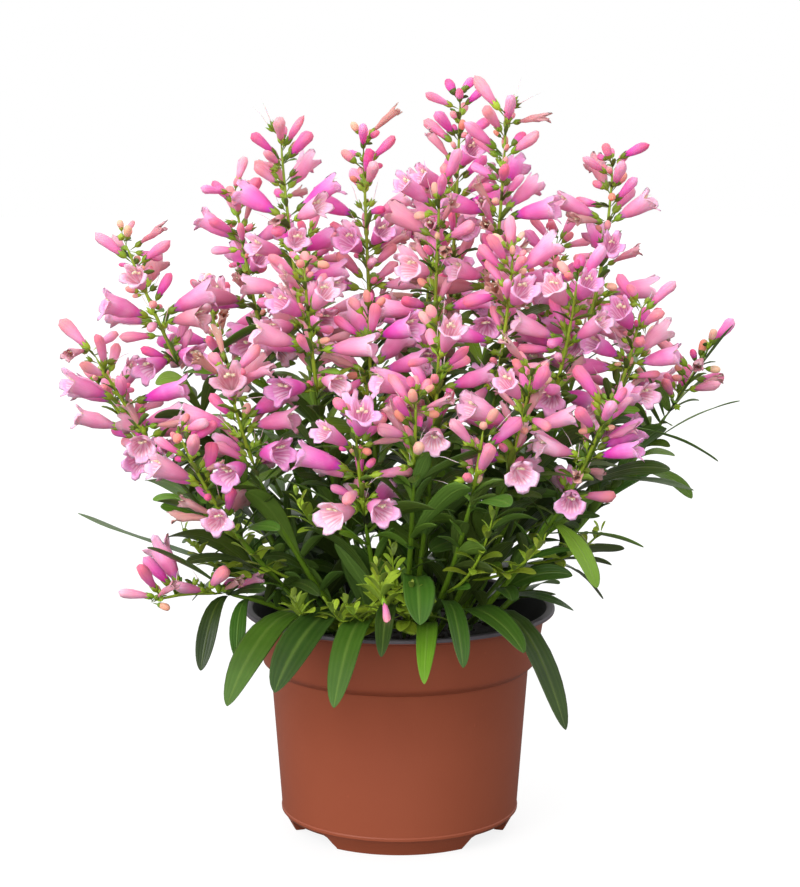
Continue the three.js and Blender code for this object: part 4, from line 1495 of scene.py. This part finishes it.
@dataclass
class CalyxShape:
    """A flower's stalk and its cup of five pointed sepals, in millimetres."""

    stalk: tuple[tuple[float, float], ...] = ((0.0, 0.6), (5.6, 0.5), (6.5, 1.4), (7.6, 1.9))
    notch: tuple[float, float] = (8.6, 2.1)
    middle: tuple[float, float] = (10.0, 2.25)
    tip: tuple[float, float] = (11.7, 2.35)
    depth: float = 0.5
    floor: float = 7.4
    segments: int = 10

    def sepal(self, turn: float, end: tuple[float, float], depth: float) -> Vector:
        """A point of a ring of the sepals, between the notch and an end."""
        share = lobe_share(turn, FIRST_SEPAL)
        reach, radius = (blend(low, high, share) for low, high in zip(self.notch, end))
        r = radius - depth
        return Vector((r * math.cos(turn), r * math.sin(turn), reach))

    def build(self) -> bpy.types.Mesh:
        """Makes the stalk and the calyx as one closed skin."""
        form = Form()
        for reach, radius in self.stalk:
            form.add_ring(round_ring(radius, reach), self.segments, along=reach / self.tip[0])
        rows = (
            (self.middle, 0.0, 0.7, 0.0),
            (self.tip, 0.0, 1.0, 0.0),
            (self.middle, self.depth, 0.7, 0.4),
        )
        for end, depth, along, inner in rows:
            form.add_ring(partial(self.sepal, end=end, depth=depth), along=along, inner=inner)
        form.close_ring(Vector((0, 0, self.floor)))
        form.close_foot()
        form.mark(form.bm.verts, across=1.0)
        return form.blank("calyx")


@dataclass
class StyleShape:
    """The long curved style that a flower leaves when its petals drop, in millimetres."""

    points: tuple[tuple[float, float, float], ...] = (
        (0, 0, 7),
        (0.4, 0.8, 13),
        (1.6, 2.6, 20),
        (4.0, 3.2, 27),
    )
    radii: tuple[float, ...] = (0.34, 0.26, 0.22, 0.3)

    def build(self) -> bpy.types.Mesh:
        """Makes the style."""
        form = Form()
        line = [Vector(point) for point in self.points]
        form.tube(line, list(self.radii), 4, inner=1.0, organ=0.45)
        return form.blank("style")


@dataclass
class BladeShape:
    """A flat blank that is bent into a leaf: x runs along it, y across it and z down through it."""

    name: str
    rows: int
    columns: int
    tip_crowding: float = 2.0

    def build(self) -> bpy.types.Mesh:
        """Makes the blank as a thin closed slab, one unit long, two wide and one thick."""
        form = Form()
        bmesh.ops.create_grid(form.bm, x_segments=self.rows, y_segments=self.columns, size=1.0)
        unit = Matrix.Translation((0.5, 0, 0)) @ Matrix.Diagonal((0.5, 1, 1, 1))
        bmesh.ops.transform(form.bm, matrix=unit, verts=form.bm.verts)
        bmesh.ops.solidify(form.bm, geom=list(form.bm.faces), thickness=1.0)
        low = min(vert.co.z for vert in form.bm.verts)
        bmesh.ops.translate(form.bm, vec=Vector((0, 0, -1 - low)), verts=form.bm.verts)
        layers = form.bm.verts.layers.float
        along, across, inner = layers["along"], layers["across"], layers["inner"]
        for vert in form.bm.verts:
            vert.co.x = 1 - (1 - vert.co.x) ** self.tip_crowding
            vert[along], vert[across] = vert.co.x, vert.co.y
            vert[inner] = 1.0 if vert.co.z < -0.5 else 0.0
        return form.blank(self.name)


@dataclass
class Blanks:
    """The blanks that the plant is put together from."""

    corolla: bpy.types.Mesh
    bud: bpy.types.Mesh
    young: bpy.types.Mesh
    calyx: bpy.types.Mesh
    style: bpy.types.Mesh
    blade: bpy.types.Mesh
    small_blade: bpy.types.Mesh

    @classmethod
    def make(cls) -> "Blanks":
        """Makes them all."""
        bud = ((7.2, 1.1), (10.4, 1.8), (14.6, 2.6), (19.0, 3.2), (22.6, 3.3), (25.0, 2.5), (26.4, 1.2))
        young = ((6.8, 1.2), (9.0, 2.2), (11.6, 2.7), (13.8, 2.4), (15.3, 1.5), (15.9, 0.6))
        return cls(
            CorollaShape().build(),
            BudShape("bud", bud, 27.0).build(),
            BudShape("young_bud", young, 16.0).build(),
            CalyxShape().build(),
            StyleShape().build(),
            BladeShape("blade", 7, 2).build(),
            BladeShape("small_blade", 4, 2).build(),
        )


def blade_width(t: float, crest: float) -> float:
    """The share of a fine blade's full width at a share of its length, blunt at the tip."""
    return math.sin(math.pi * min(max(t, 0.0), 1.0) ** crest) ** 0.5


@dataclass
class LeafPress:
    """Bends a flat blank along a leaf's spine, with a fold, soft waves and a thin edge."""

    foot_half_width: float = 1.3
    full_foot_from: float = 4.0
    least_half_width: float = 0.25
    widening: Span = Span(1.08, 1.4)
    crest: Span = Span(1.1, 2.0)
    fold: float = 0.2
    fold_vary: Span = Span(0.3, 1.6)
    keel: float = 0.4
    thickness: float = 0.6
    edge_thinning: float = 0.5
    wave: float = 0.7
    wave_count: Span = Span(1.0, 2.2)
    wave_half_width: float = 6.0
    twist: float = 34.0
    sway: float = 0.035

    def press(
        self, form: Form, blank: bpy.types.Mesh, leaf: Leaf, dice: random.Random, age: float
    ) -> None:
        """Adds one leaf to a form.

        Args:
            form: The form that it joins.
            blank: The flat blade to bend.
            leaf: Where the leaf goes.
            dice: Chance for its waves and tint.
            age: 0 for an old dark leaf and 1 for a yellow-green shoot.
        """
        spine, side = leaf.spine(), leaf.side()
        waves, phase = self.wave_count.draw(dice), dice.uniform(0, FULL_TURN)
        fold = self.fold * self.fold_vary.draw(dice)
        full = leaf.width / 2 * self.widening.draw(dice)
        foot = self.foot_half_width * min(1, full / self.full_foot_from)
        twist, crest = dice.uniform(-self.twist, self.twist), self.crest.draw(dice)
        sway = dice.uniform(-self.sway, self.sway) * spine.length

        def place(spot: Vector) -> Vector:
            """Moves one point of the blank."""
            s = spot.x * spine.length
            width = full * blade_width(spot.x, crest)
            half = max(width, foot * (1 - spot.x) ** 2, self.least_half_width)
            along = spine.direction(min(max(s, 1.0), spine.length - 1))
            out = side.turned(along, twist * spot.x)
            up = out.cross(along)
            ripple = math.sin(spot.x * waves * FULL_TURN + phase + spot.y)
            rise = fold * half * abs(spot.y) - self.keel
            rise += ripple * self.wave * spot.y**2 * half / self.wave_half_width
            thin = (1 - self.edge_thinning * abs(spot.y)) * min(1.0, 0.4 + half / 3)
            rise += spot.z * self.thickness * thin
            aside = spot.y * half + sway * math.sin(math.pi * spot.x) ** 2
            return spine.at(s).plus(out, aside).plus(up, rise).metres()

        form.stamp(blank, place, tint=dice.random(), age=age)


@dataclass
class StemGrower:
    """Dresses one stem: its leafy part, its spray's green and its petals."""

    blanks: Blanks
    petals: bpy.types.Material
    greens: bpy.types.Material
    press: LeafPress = field(default_factory=LeafPress)
    stem_sides: int = 8
    stem_step: float = 9.0
    stub: float = 8.0
    stem_foot_radius: float = 1.9
    stem_top_radius: float = 1.15
    rachis_top_radius: float = 0.6
    shoot_sides: int = 6
    shoot_radius: Span = Span(1.2, 0.5)
    stub_age: float = 0.5
    stem_age: float = 0.62
    shoot_age: float = 0.85
    rachis_age: float = 0.9
    shoot_leaf_age: Span = Span(0.8, 1.05)
    bract_age: Span = Span(0.35, 0.95)
    calyx_age: Span = Span(0.68, 1.0)
    bud_age: Span = Span(0.25, 0.58)
    young_age: Span = Span(0.5, 0.92)
    old_leaf_height: float = 110.0
    leaf_freshness: float = 0.72
    small_leaf_freshness: Span = Span(0.05, 0.45)
    bloom_length: float = 32.0
    calyx_length: float = 9.0
    bend: float = 2.0
    droop: Span = Span(-1.3, 0.4)
    noise_scale: float = 0.16
    crumple: float = 1.9
    withered_crumple: float = 3.4
    slimness: Span = Span(0.86, 1.1)
    withered_slimness: float = 0.5
    faded_chance: float = 0.1
    faded: Span = Span(0.3, 0.8)
    withered_fade: Span = Span(0.45, 1.1)
    style_chance: float = 0.6
    open_growth: float = 1.05

    def rod(
        self, form: Form, curve: Curve, ends: Span, radii: Span, sides: int, age: float
    ) -> None:
        """Adds a length of stem to a form.

        Args:
            form: The form that it joins.
            curve: The line that it follows.
            ends: Where the length starts and stops along that line.
            radii: Its radius at either end.
            sides: How many sides it has.
            age: How yellow-green it is.
        """
        places = evenly(*ends, self.stem_step)
        points = [curve.at(s).metres() for s in places]
        widths = [radii.at(i / (len(places) - 1)) * MM for i in range(len(places))]
        form.tube(points, widths, sides, across=1.0, tint=0.5, age=age)

    def leaf_age(self, leaf: Leaf, rise: float, most: float) -> float:
        """How fresh a leaf is for its height, from 0 at the foot of the bush to the most."""
        return min(max((leaf.base.z - self.old_leaf_height) / rise, 0.0), most)

    def leafy_form(self, stem: Stem, dice: random.Random) -> Form:
        """The stem's lower part, with its large and small leaves."""
        form, leafy = Form(), stem.leafy
        foot = stem.curve.at(0)
        stub = [foot.plus(SKY, -self.stub).metres(), foot.plus(SKY, 0.5).metres()]
        radii = Span(self.stem_foot_radius, self.stem_top_radius)
        form.tube(stub, [radii.first * MM] * 2, self.stem_sides, across=1.0, age=self.stub_age)
        self.rod(form, stem.curve, Span(0.0, leafy.stop), radii, self.stem_sides, self.stem_age)
        for leaf in leafy.leaves:
            age = self.leaf_age(leaf, 300, 0.4) + dice.uniform(0, self.leaf_freshness) ** 2
            self.press.press(form, self.blanks.blade, leaf, dice, age)
        for leaf in leafy.small_leaves:
            age = self.leaf_age(leaf, 400, 0.35) + self.small_leaf_freshness.draw(dice)
            self.press.press(form, self.blanks.blade, leaf, dice, age)
        for shoot in leafy.shoots:
            ends = Span(0.0, shoot.curve.length)
            self.rod(form, shoot.curve, ends, self.shoot_radius, self.shoot_sides, self.shoot_age)
            for leaf in shoot.leaves:
                age = self.shoot_leaf_age.draw(dice)
                self.press.press(form, self.blanks.small_blade, leaf, dice, age)
        return form

    def bloom_place(self, bloom: Bloom, dice: random.Random) -> Callable[[Vector], Vector]:
        """Moves a blank's points onto the plant, a little bent and crumpled."""
        matrix = bloom.matrix()
        lean = Vector((dice.uniform(-1, 1), self.droop.draw(dice), 0)) * self.bend
        offset = Vector((dice.uniform(0, 90), dice.uniform(0, 90), dice.uniform(0, 90)))
        withered = bloom.kind is Kind.WITHERED
        crumple = self.withered_crumple if withered else self.crumple
        slim = self.withered_slimness if withered else self.slimness.draw(dice)
        grow = self.open_growth if bloom.kind is Kind.OPEN else 1.0

        def place(spot: Vector) -> Vector:
            """Moves one point."""
            share = max(0.0, spot.z / self.bloom_length) ** 2
            wobble = noise.noise_vector(spot * self.noise_scale + offset) * (crumple * share)
            across = slim if spot.z > self.calyx_length else 1.0
            thin = Vector((spot.x * across, spot.y * across, spot.z))
            return matrix @ ((thin + lean * share + wobble) * grow)

        return place

    def dress_bloom(self, petals: Form, greens: Form, bloom: Bloom, dice: random.Random) -> None:
        """Adds one bloom, its petals to one form and its calyx to another."""
        tint, blanks = dice.random(), self.blanks
        place = self.bloom_place(bloom, dice)
        faded = self.faded.draw(dice) if dice.random() < self.faded_chance else 0.0
        if bloom.kind is Kind.OPEN:
            petals.stamp(blanks.corolla, place, tint=tint, age=0.0, fade=faded)
        elif bloom.kind is Kind.BUD:
            petals.stamp(blanks.bud, place, tint=tint, age=self.bud_age.draw(dice), fade=faded * 0.5)
        elif bloom.kind is Kind.YOUNG:
            petals.stamp(blanks.young, place, tint=tint, age=self.young_age.draw(dice))
        elif bloom.kind is Kind.WITHERED:
            petals.stamp(blanks.corolla, place, tint=tint, age=0.0, fade=self.withered_fade.draw(dice))
        elif dice.random() < self.style_chance:
            petals.stamp(blanks.style, place, tint=tint)
        greens.stamp(blanks.calyx, place, tint=tint, age=self.calyx_age.draw(dice))

    def dress(self, stem: Stem, seed: int) -> int:
        """Makes the pieces of one stem.

        Args:
            stem: The stem to dress.
            seed: Seed of its own chances.

        Returns:
            How many faces its pieces have before they are smoothed.
        """
        dice = random.Random(seed)
        leafy, petals, greens = self.leafy_form(stem, dice), Form(), Form()
        radii = Span(self.stem_top_radius, self.rachis_top_radius)
        ends = Span(stem.spray.start, stem.spray.stop - 1)
        self.rod(greens, stem.curve, ends, radii, self.stem_sides, self.rachis_age)
        for leaf in stem.spray.bracts:
            self.press.press(greens, self.blanks.small_blade, leaf, dice, self.bract_age.draw(dice))
        for bloom in stem.spray.blooms:
            self.dress_bloom(petals, greens, bloom, dice)
        parts = (
            (leafy, stem.leafy.node, "leaves", self.greens, "foliage", 1),
            (greens, stem.spray.node, "green", self.greens, "foliage", 0),
            (petals, stem.spray.node, "petals", self.petals, "petals", 0),
        )
        faces = 0
        for form, node, part, material, slot, levels in parts:
            thing = form.piece(f"{node}.{part}", material, levels=levels)
            settle(thing, node, slot)
            faces += len(thing.data.polygons)
        return faces


@dataclass
class NurseryPot:
    """The round plastic pot, with its collar, lip and four feet."""

    finish: bpy.types.Material
    sizes: PotSizes = POT
    steps: int = 180
    crease: float = 32.0
    waist: tuple[float, float] = (68.2, 55.0)
    collar_waist: tuple[float, float] = (77.4, 107.0)
    lip_curl_radius: float = 82.4

    def profile(self) -> list[tuple[float, float, float, float]]:
        """Radius, height, inside mark and lip mark of each point, from the middle of the underside."""
        p = self.sizes
        outside = [
            (0.0, p.foot_height),
            (p.foot_inner_radius - 0.6, p.foot_height),
            (p.foot_inner_radius, p.foot_height - 0.6),
            (p.foot_inner_radius, 0.4),
            (p.foot_inner_radius + 0.4, 0.0),
            (p.foot_radius - 1.2, 0.0),
            (p.foot_radius - 0.4, 0.3),
            (p.foot_radius, 1.0),
            (p.body_foot_radius - 1.1, p.foot_height - 0.6),
            (p.body_foot_radius - 0.3, p.foot_height + 0.3),
            (p.body_foot_radius + 0.5, p.foot_height + 1.2),
            (p.body_foot_radius + 0.6, p.foot_height + 2.4),
            (p.body_foot_radius + 0.2, p.foot_height + 3.0),
            self.waist,
            (p.body_top_radius - 0.1, p.body_top - 1.4),
            (p.body_top_radius + 0.3, p.body_top - 0.3),
            (p.body_top_radius + 1.4, p.body_top + 0.5),
            (p.collar_bottom_radius - 1.5, p.collar_bottom - 2.6),
            (p.collar_bottom_radius - 0.4, p.collar_bottom - 1.5),
            (p.collar_bottom_radius, p.collar_bottom),
            (p.collar_bottom_radius + 0.3, p.collar_bottom + 1.6),
            self.collar_waist,
            (p.collar_top_radius - 0.4, p.collar_top - 1.6),
            (p.collar_top_radius + 0.1, p.collar_top - 0.5),
            (p.collar_top_radius + 0.9, p.collar_top - 0.1),
            (self.lip_curl_radius, p.rim_underside - 0.5),
            (p.rim_radius - 0.9, p.rim_underside),
            (p.rim_radius - 0.2, p.rim_underside + 0.5),
        ]
        lip = [
            (p.rim_radius, p.rim_top - 1.7),
            (p.rim_radius, p.rim_top - 0.9),
            (p.rim_radius - 0.4, p.rim_top - 0.2),
            (p.rim_radius - 1.2, p.rim_top),
            (p.rim_inner_radius + 1.4, p.rim_top),
            (p.rim_inner_radius + 0.5, p.rim_top - 0.3),
        ]
        inside = [
            (p.rim_inner_radius - 0.4, p.rim_top - 1.2),
            (p.collar_top_radius - p.wall, p.rim_underside - 1.0),
            (p.collar_bottom_radius - p.wall, p.collar_bottom),
            (p.body_top_radius - p.wall, p.body_top - 0.6),
            (p.body_foot_radius - p.wall, p.floor_top + 0.8),
            (p.body_foot_radius - p.wall - 0.8, p.floor_top),
            (0.0, p.floor_top),
        ]
        rows = [(r, z, 0.0, 0.0) for r, z in outside]
        rows += [(r, z, 0.0, 1.0) for r, z in lip]
        return rows + [(r, z, 1.0, 0.0) for r, z in inside]

    def lift(self, turn: float) -> float:
        """How high the underside of the foot is raised at an angle, for the arches between the feet."""
        p = self.sizes
        best = 0.0
        for centre in p.arch_angles:
            off = abs((turn - math.radians(centre) + math.pi) % FULL_TURN - math.pi) * p.foot_radius
            slope = (p.arch_foot_width / 2 - off) / ((p.arch_foot_width - p.arch_top_width) / 2)
            best = max(best, min(1.0, max(0.0, slope)))
        return best * p.arch_height

    def build(self) -> None:
        """Spins the profile round, raises the arches and dresses the pot."""
        form = Form()
        bm = form.bm
        inner, lip = bm.verts.layers.float["inner"], bm.verts.layers.float["lip"]
        line = []
        for r, z, inside, on_lip in self.profile():
            vert = bm.verts.new((r * MM, 0, z * MM))
            vert[inner], vert[lip] = inside, on_lip
            line.append(vert)
        edges = [bm.edges.new(pair) for pair in zip(line, line[1:])]
        bmesh.ops.spin(
            bm,
            geom=line + edges,
            cent=Vector(),
            axis=Vector((0, 0, 1)),
            angle=FULL_TURN,
            steps=self.steps,
            use_merge=True,
        )
        bmesh.ops.remove_doubles(bm, verts=bm.verts, dist=1e-6)
        form.outward()
        self.raise_arches(bm)
        thing = form.piece("pot.shell", self.finish, self.crease)
        settle(thing, "pot", "pot_plastic")
        LOG.info("pot: %d faces", len(thing.data.polygons))

    def raise_arches(self, bm: bmesh.types.BMesh) -> None:
        """Lifts the foot's underside between the feet."""
        p = self.sizes
        for vert in bm.verts:
            r = math.hypot(vert.co.x, vert.co.y) / MM
            z = vert.co.z / MM
            if r > p.foot_inner_radius - 0.1 and z < p.arch_height:
                lifted = max(z, self.lift(math.atan2(vert.co.y, vert.co.x)) + z * 0.05)
                if r > p.foot_radius - 0.1:
                    grow = (p.body_foot_radius - 0.8 - p.foot_radius) * (lifted - z) / p.foot_height
                    vert.co.x *= (r + grow) / r
                    vert.co.y *= (r + grow) / r
                vert.co.z = lifted * MM


@dataclass
class SoilBed:
    """The soil: a plug that fills the pot, with a lumpy top, crumbs and fibres."""

    finish: bpy.types.Material
    sizes: PotSizes = POT
    segments: int = 72
    rings: int = 14
    crumbs: int = 420
    gap: float = 0.5
    top_radius: float = 76.0
    sunk: float = 1.4
    lump: float = 1.3
    lump_scale: float = 0.09
    lump_roughness: float = 0.7
    lump_spacing: float = 2.1
    lump_layers: int = 4
    seed: int = 31
    crumb_size: Span = Span(0.5, 1.9)
    crumb_stretch: tuple[Span, ...] = (Span(0.7, 1.6), Span(0.7, 1.3), Span(0.5, 0.9))

    def top(self, x: float, y: float) -> float:
        """The soil's height at a place, in millimetres."""
        p = self.sizes
        r = math.hypot(x, y)
        edge = max(0.0, (r - p.soil_flat_radius) / (self.top_radius - p.soil_flat_radius))
        spot = Vector((x, y, 0)) * self.lump_scale
        lumps = noise.fractal(spot, self.lump_roughness, self.lump_spacing, self.lump_layers)
        return blend(p.soil_top, p.soil_edge_top, edge) - self.sunk + self.lump * lumps

    def build(self) -> None:
        """Makes the plug and scatters crumbs on it."""
        p = self.sizes
        form = Form()
        outline = (
            (p.body_foot_radius - p.wall - self.gap - 0.6, p.floor_top + 0.4),
            (p.body_top_radius - p.wall - self.gap, p.body_top),
            (p.collar_bottom_radius - p.wall - self.gap, p.collar_bottom + 0.5),
            (self.top_radius - self.gap, p.soil_edge_top - 2.5),
        )
        for radius, height in outline:
            form.add_ring(round_ring(radius, height, MM), self.segments)
        widest = outline[-1][0]
        for i in range(self.rings):
            radius = widest * (1 - (i + 0.15) / self.rings)

            def place(turn: float) -> Vector:
                """A point of the lumpy top."""
                x, y = radius * math.cos(turn), radius * math.sin(turn)
                return Vector((x, y, self.top(x, y))) * MM

            form.add_ring(place)
        form.close_ring(Vector((0, 0, self.top(0, 0))) * MM)
        form.close_foot()
        form.outward()
        self.scatter(form, random.Random(self.seed), widest)
        thing = form.piece("soil.bed", self.finish)
        settle(thing, "soil", "soil")
        LOG.info("soil: %d faces", len(thing.data.polygons))

    def scatter(self, form: Form, dice: random.Random, widest: float) -> None:
        """Strews crumbs over the top."""
        for _ in range(self.crumbs):
            turn, r = dice.uniform(0, FULL_TURN), (widest - 2) * math.sqrt(dice.random())
            x, y, size = r * math.cos(turn), r * math.sin(turn), self.crumb_size.draw(dice)
            made = bmesh.ops.create_icosphere(form.bm, subdivisions=1, radius=size * MM)
            stretch = Vector([span.draw(dice) for span in self.crumb_stretch])
            bmesh.ops.scale(form.bm, vec=stretch, verts=made["verts"])
            spin = Matrix.Rotation(dice.uniform(0, FULL_TURN), 3, "Z")
            bmesh.ops.rotate(form.bm, cent=Vector(), matrix=spin, verts=made["verts"])
            where = Vector((x, y, self.top(x, y) + size * 0.2)) * MM
            bmesh.ops.translate(form.bm, vec=where, verts=made["verts"])
            form.mark(made["verts"], tint=dice.random())


@dataclass
class Studio:
    """A pale floor, soft lights and the camera of the photograph."""

    camera_place: tuple[float, float, float] = (0.0, -1.150, 0.3827)
    camera_tilt: float = 8.45
    frame_height: float = 887.0
    focal_pixels: float = 2143.4
    floor_radius: float = 8.0
    floor_glow: float = 0.84
    floor_shade: float = 0.18
    sky_light: float = 0.94
    sun_spread: float = 45.0
    suns: dict[str, tuple[float, float, float]] = field(
        default_factory=lambda: {
            "key": (226.0, 28.0, 2.05),
            "fill": (270.0, 4.0, 0.95),
            "back": (80.0, 60.0, 0.5),
        }
    )

    def build(self) -> None:
        """Puts up the floor, the lights and the camera."""
        self.put_floor()
        self.put_sky()
        self.put_suns()
        self.put_camera()

    def put_floor(self) -> None:
        """Lays a plain pale floor, which is seen brighter than it lights the plant."""
        board = Board("studio_floor")
        shade = self.floor_shade + board.grain(0.8, 1.0) * 0.02
        colour = board.add("ShaderNodeCombineColor", {}, {0: shade, 1: shade, 2: shade})
        glow = board.add("ShaderNodeLightPath", output="Is Camera Ray") * self.floor_glow
        material = board.surface(
            {
                "Base Color": colour,
                "Roughness": 0.9,
                "Specular IOR Level": 0.1,
                "Emission Color": (1.0, 1.0, 1.0),
                "Emission Strength": glow,
            }
        )
        bm = bmesh.new()
        bmesh.ops.create_circle(bm, cap_ends=True, segments=64, radius=self.floor_radius)
        mesh = bpy.data.meshes.new("studio_floor")
        bm.to_mesh(mesh)
        bm.free()
        mesh.materials.append(material)
        floor = bpy.data.objects.new("studio_floor", mesh)
        bpy.context.scene.collection.objects.link(floor)

    def put_sky(self) -> None:
        """Puts up a white sky, which lights the plant less than it shows behind it."""
        world = bpy.data.worlds.new("studio_sky")
        world.use_nodes = True
        tree = world.node_tree
        sky = tree.nodes["Background"]
        sky.inputs["Color"].default_value = (1.0, 1.0, 1.0, 1.0)
        seen, strength = tree.nodes.new("ShaderNodeLightPath"), tree.nodes.new("ShaderNodeMapRange")
        strength.inputs["To Min"].default_value = self.sky_light
        tree.links.new(seen.outputs["Is Camera Ray"], strength.inputs["Value"])
        tree.links.new(strength.outputs["Result"], sky.inputs["Strength"])
        bpy.context.scene.world = world

    def put_suns(self) -> None:
        """Hangs broad soft lights, the strongest at the upper left."""
        for name, (azimuth, elevation, strength) in self.suns.items():
            data = bpy.data.lights.new(name, "SUN")
            data.angle = math.radians(self.sun_spread)
            data.energy = strength
            lamp = bpy.data.objects.new(name, data)
            lamp.rotation_euler = Vector(aim(azimuth, elevation)).to_track_quat("Z", "Y").to_euler()
            bpy.context.scene.collection.objects.link(lamp)

    def put_camera(self) -> None:
        """Sets up the camera as the photograph was taken."""
        data = bpy.data.cameras.new("camera")
        data.sensor_fit = "VERTICAL"
        data.sensor_height = 36.0
        data.lens = self.focal_pixels / self.frame_height * data.sensor_height
        data.shift_x = 0.5 / self.frame_height
        data.clip_end = 50.0
        camera = bpy.data.objects.new("camera", data)
        camera.location = self.camera_place
        camera.rotation_euler = (math.radians(90 - self.camera_tilt), 0.0, 0.0)
        scene = bpy.context.scene
        scene.collection.objects.link(camera)
        scene.camera = camera
        scene.view_settings.view_transform = "Standard"


def main() -> None:
    """Builds the pot, the soil, every stem and the studio."""
    logging.basicConfig(level=logging.INFO, format="%(message)s")
    noise.seed_set(NOISE_SEED)
    NurseryPot(PotFinish().material()).build()
    SoilBed(SoilFinish().material()).build()
    planting = Planting()
    LOG.info("laid out %d stems", len(planting.stems))
    Filling(planting).grow()
    grower = StemGrower(Blanks.make(), PetalFinish().material(), LeafFinish().material())
    for i, stem in enumerate(planting.stems):
        faces = grower.dress(stem, STEM_SEED + i)
        LOG.info("stem %s: %d blooms, %d faces", stem.name, len(stem.spray.blooms), faces)
    Studio().build()


if __name__ == "__main__":
    main()
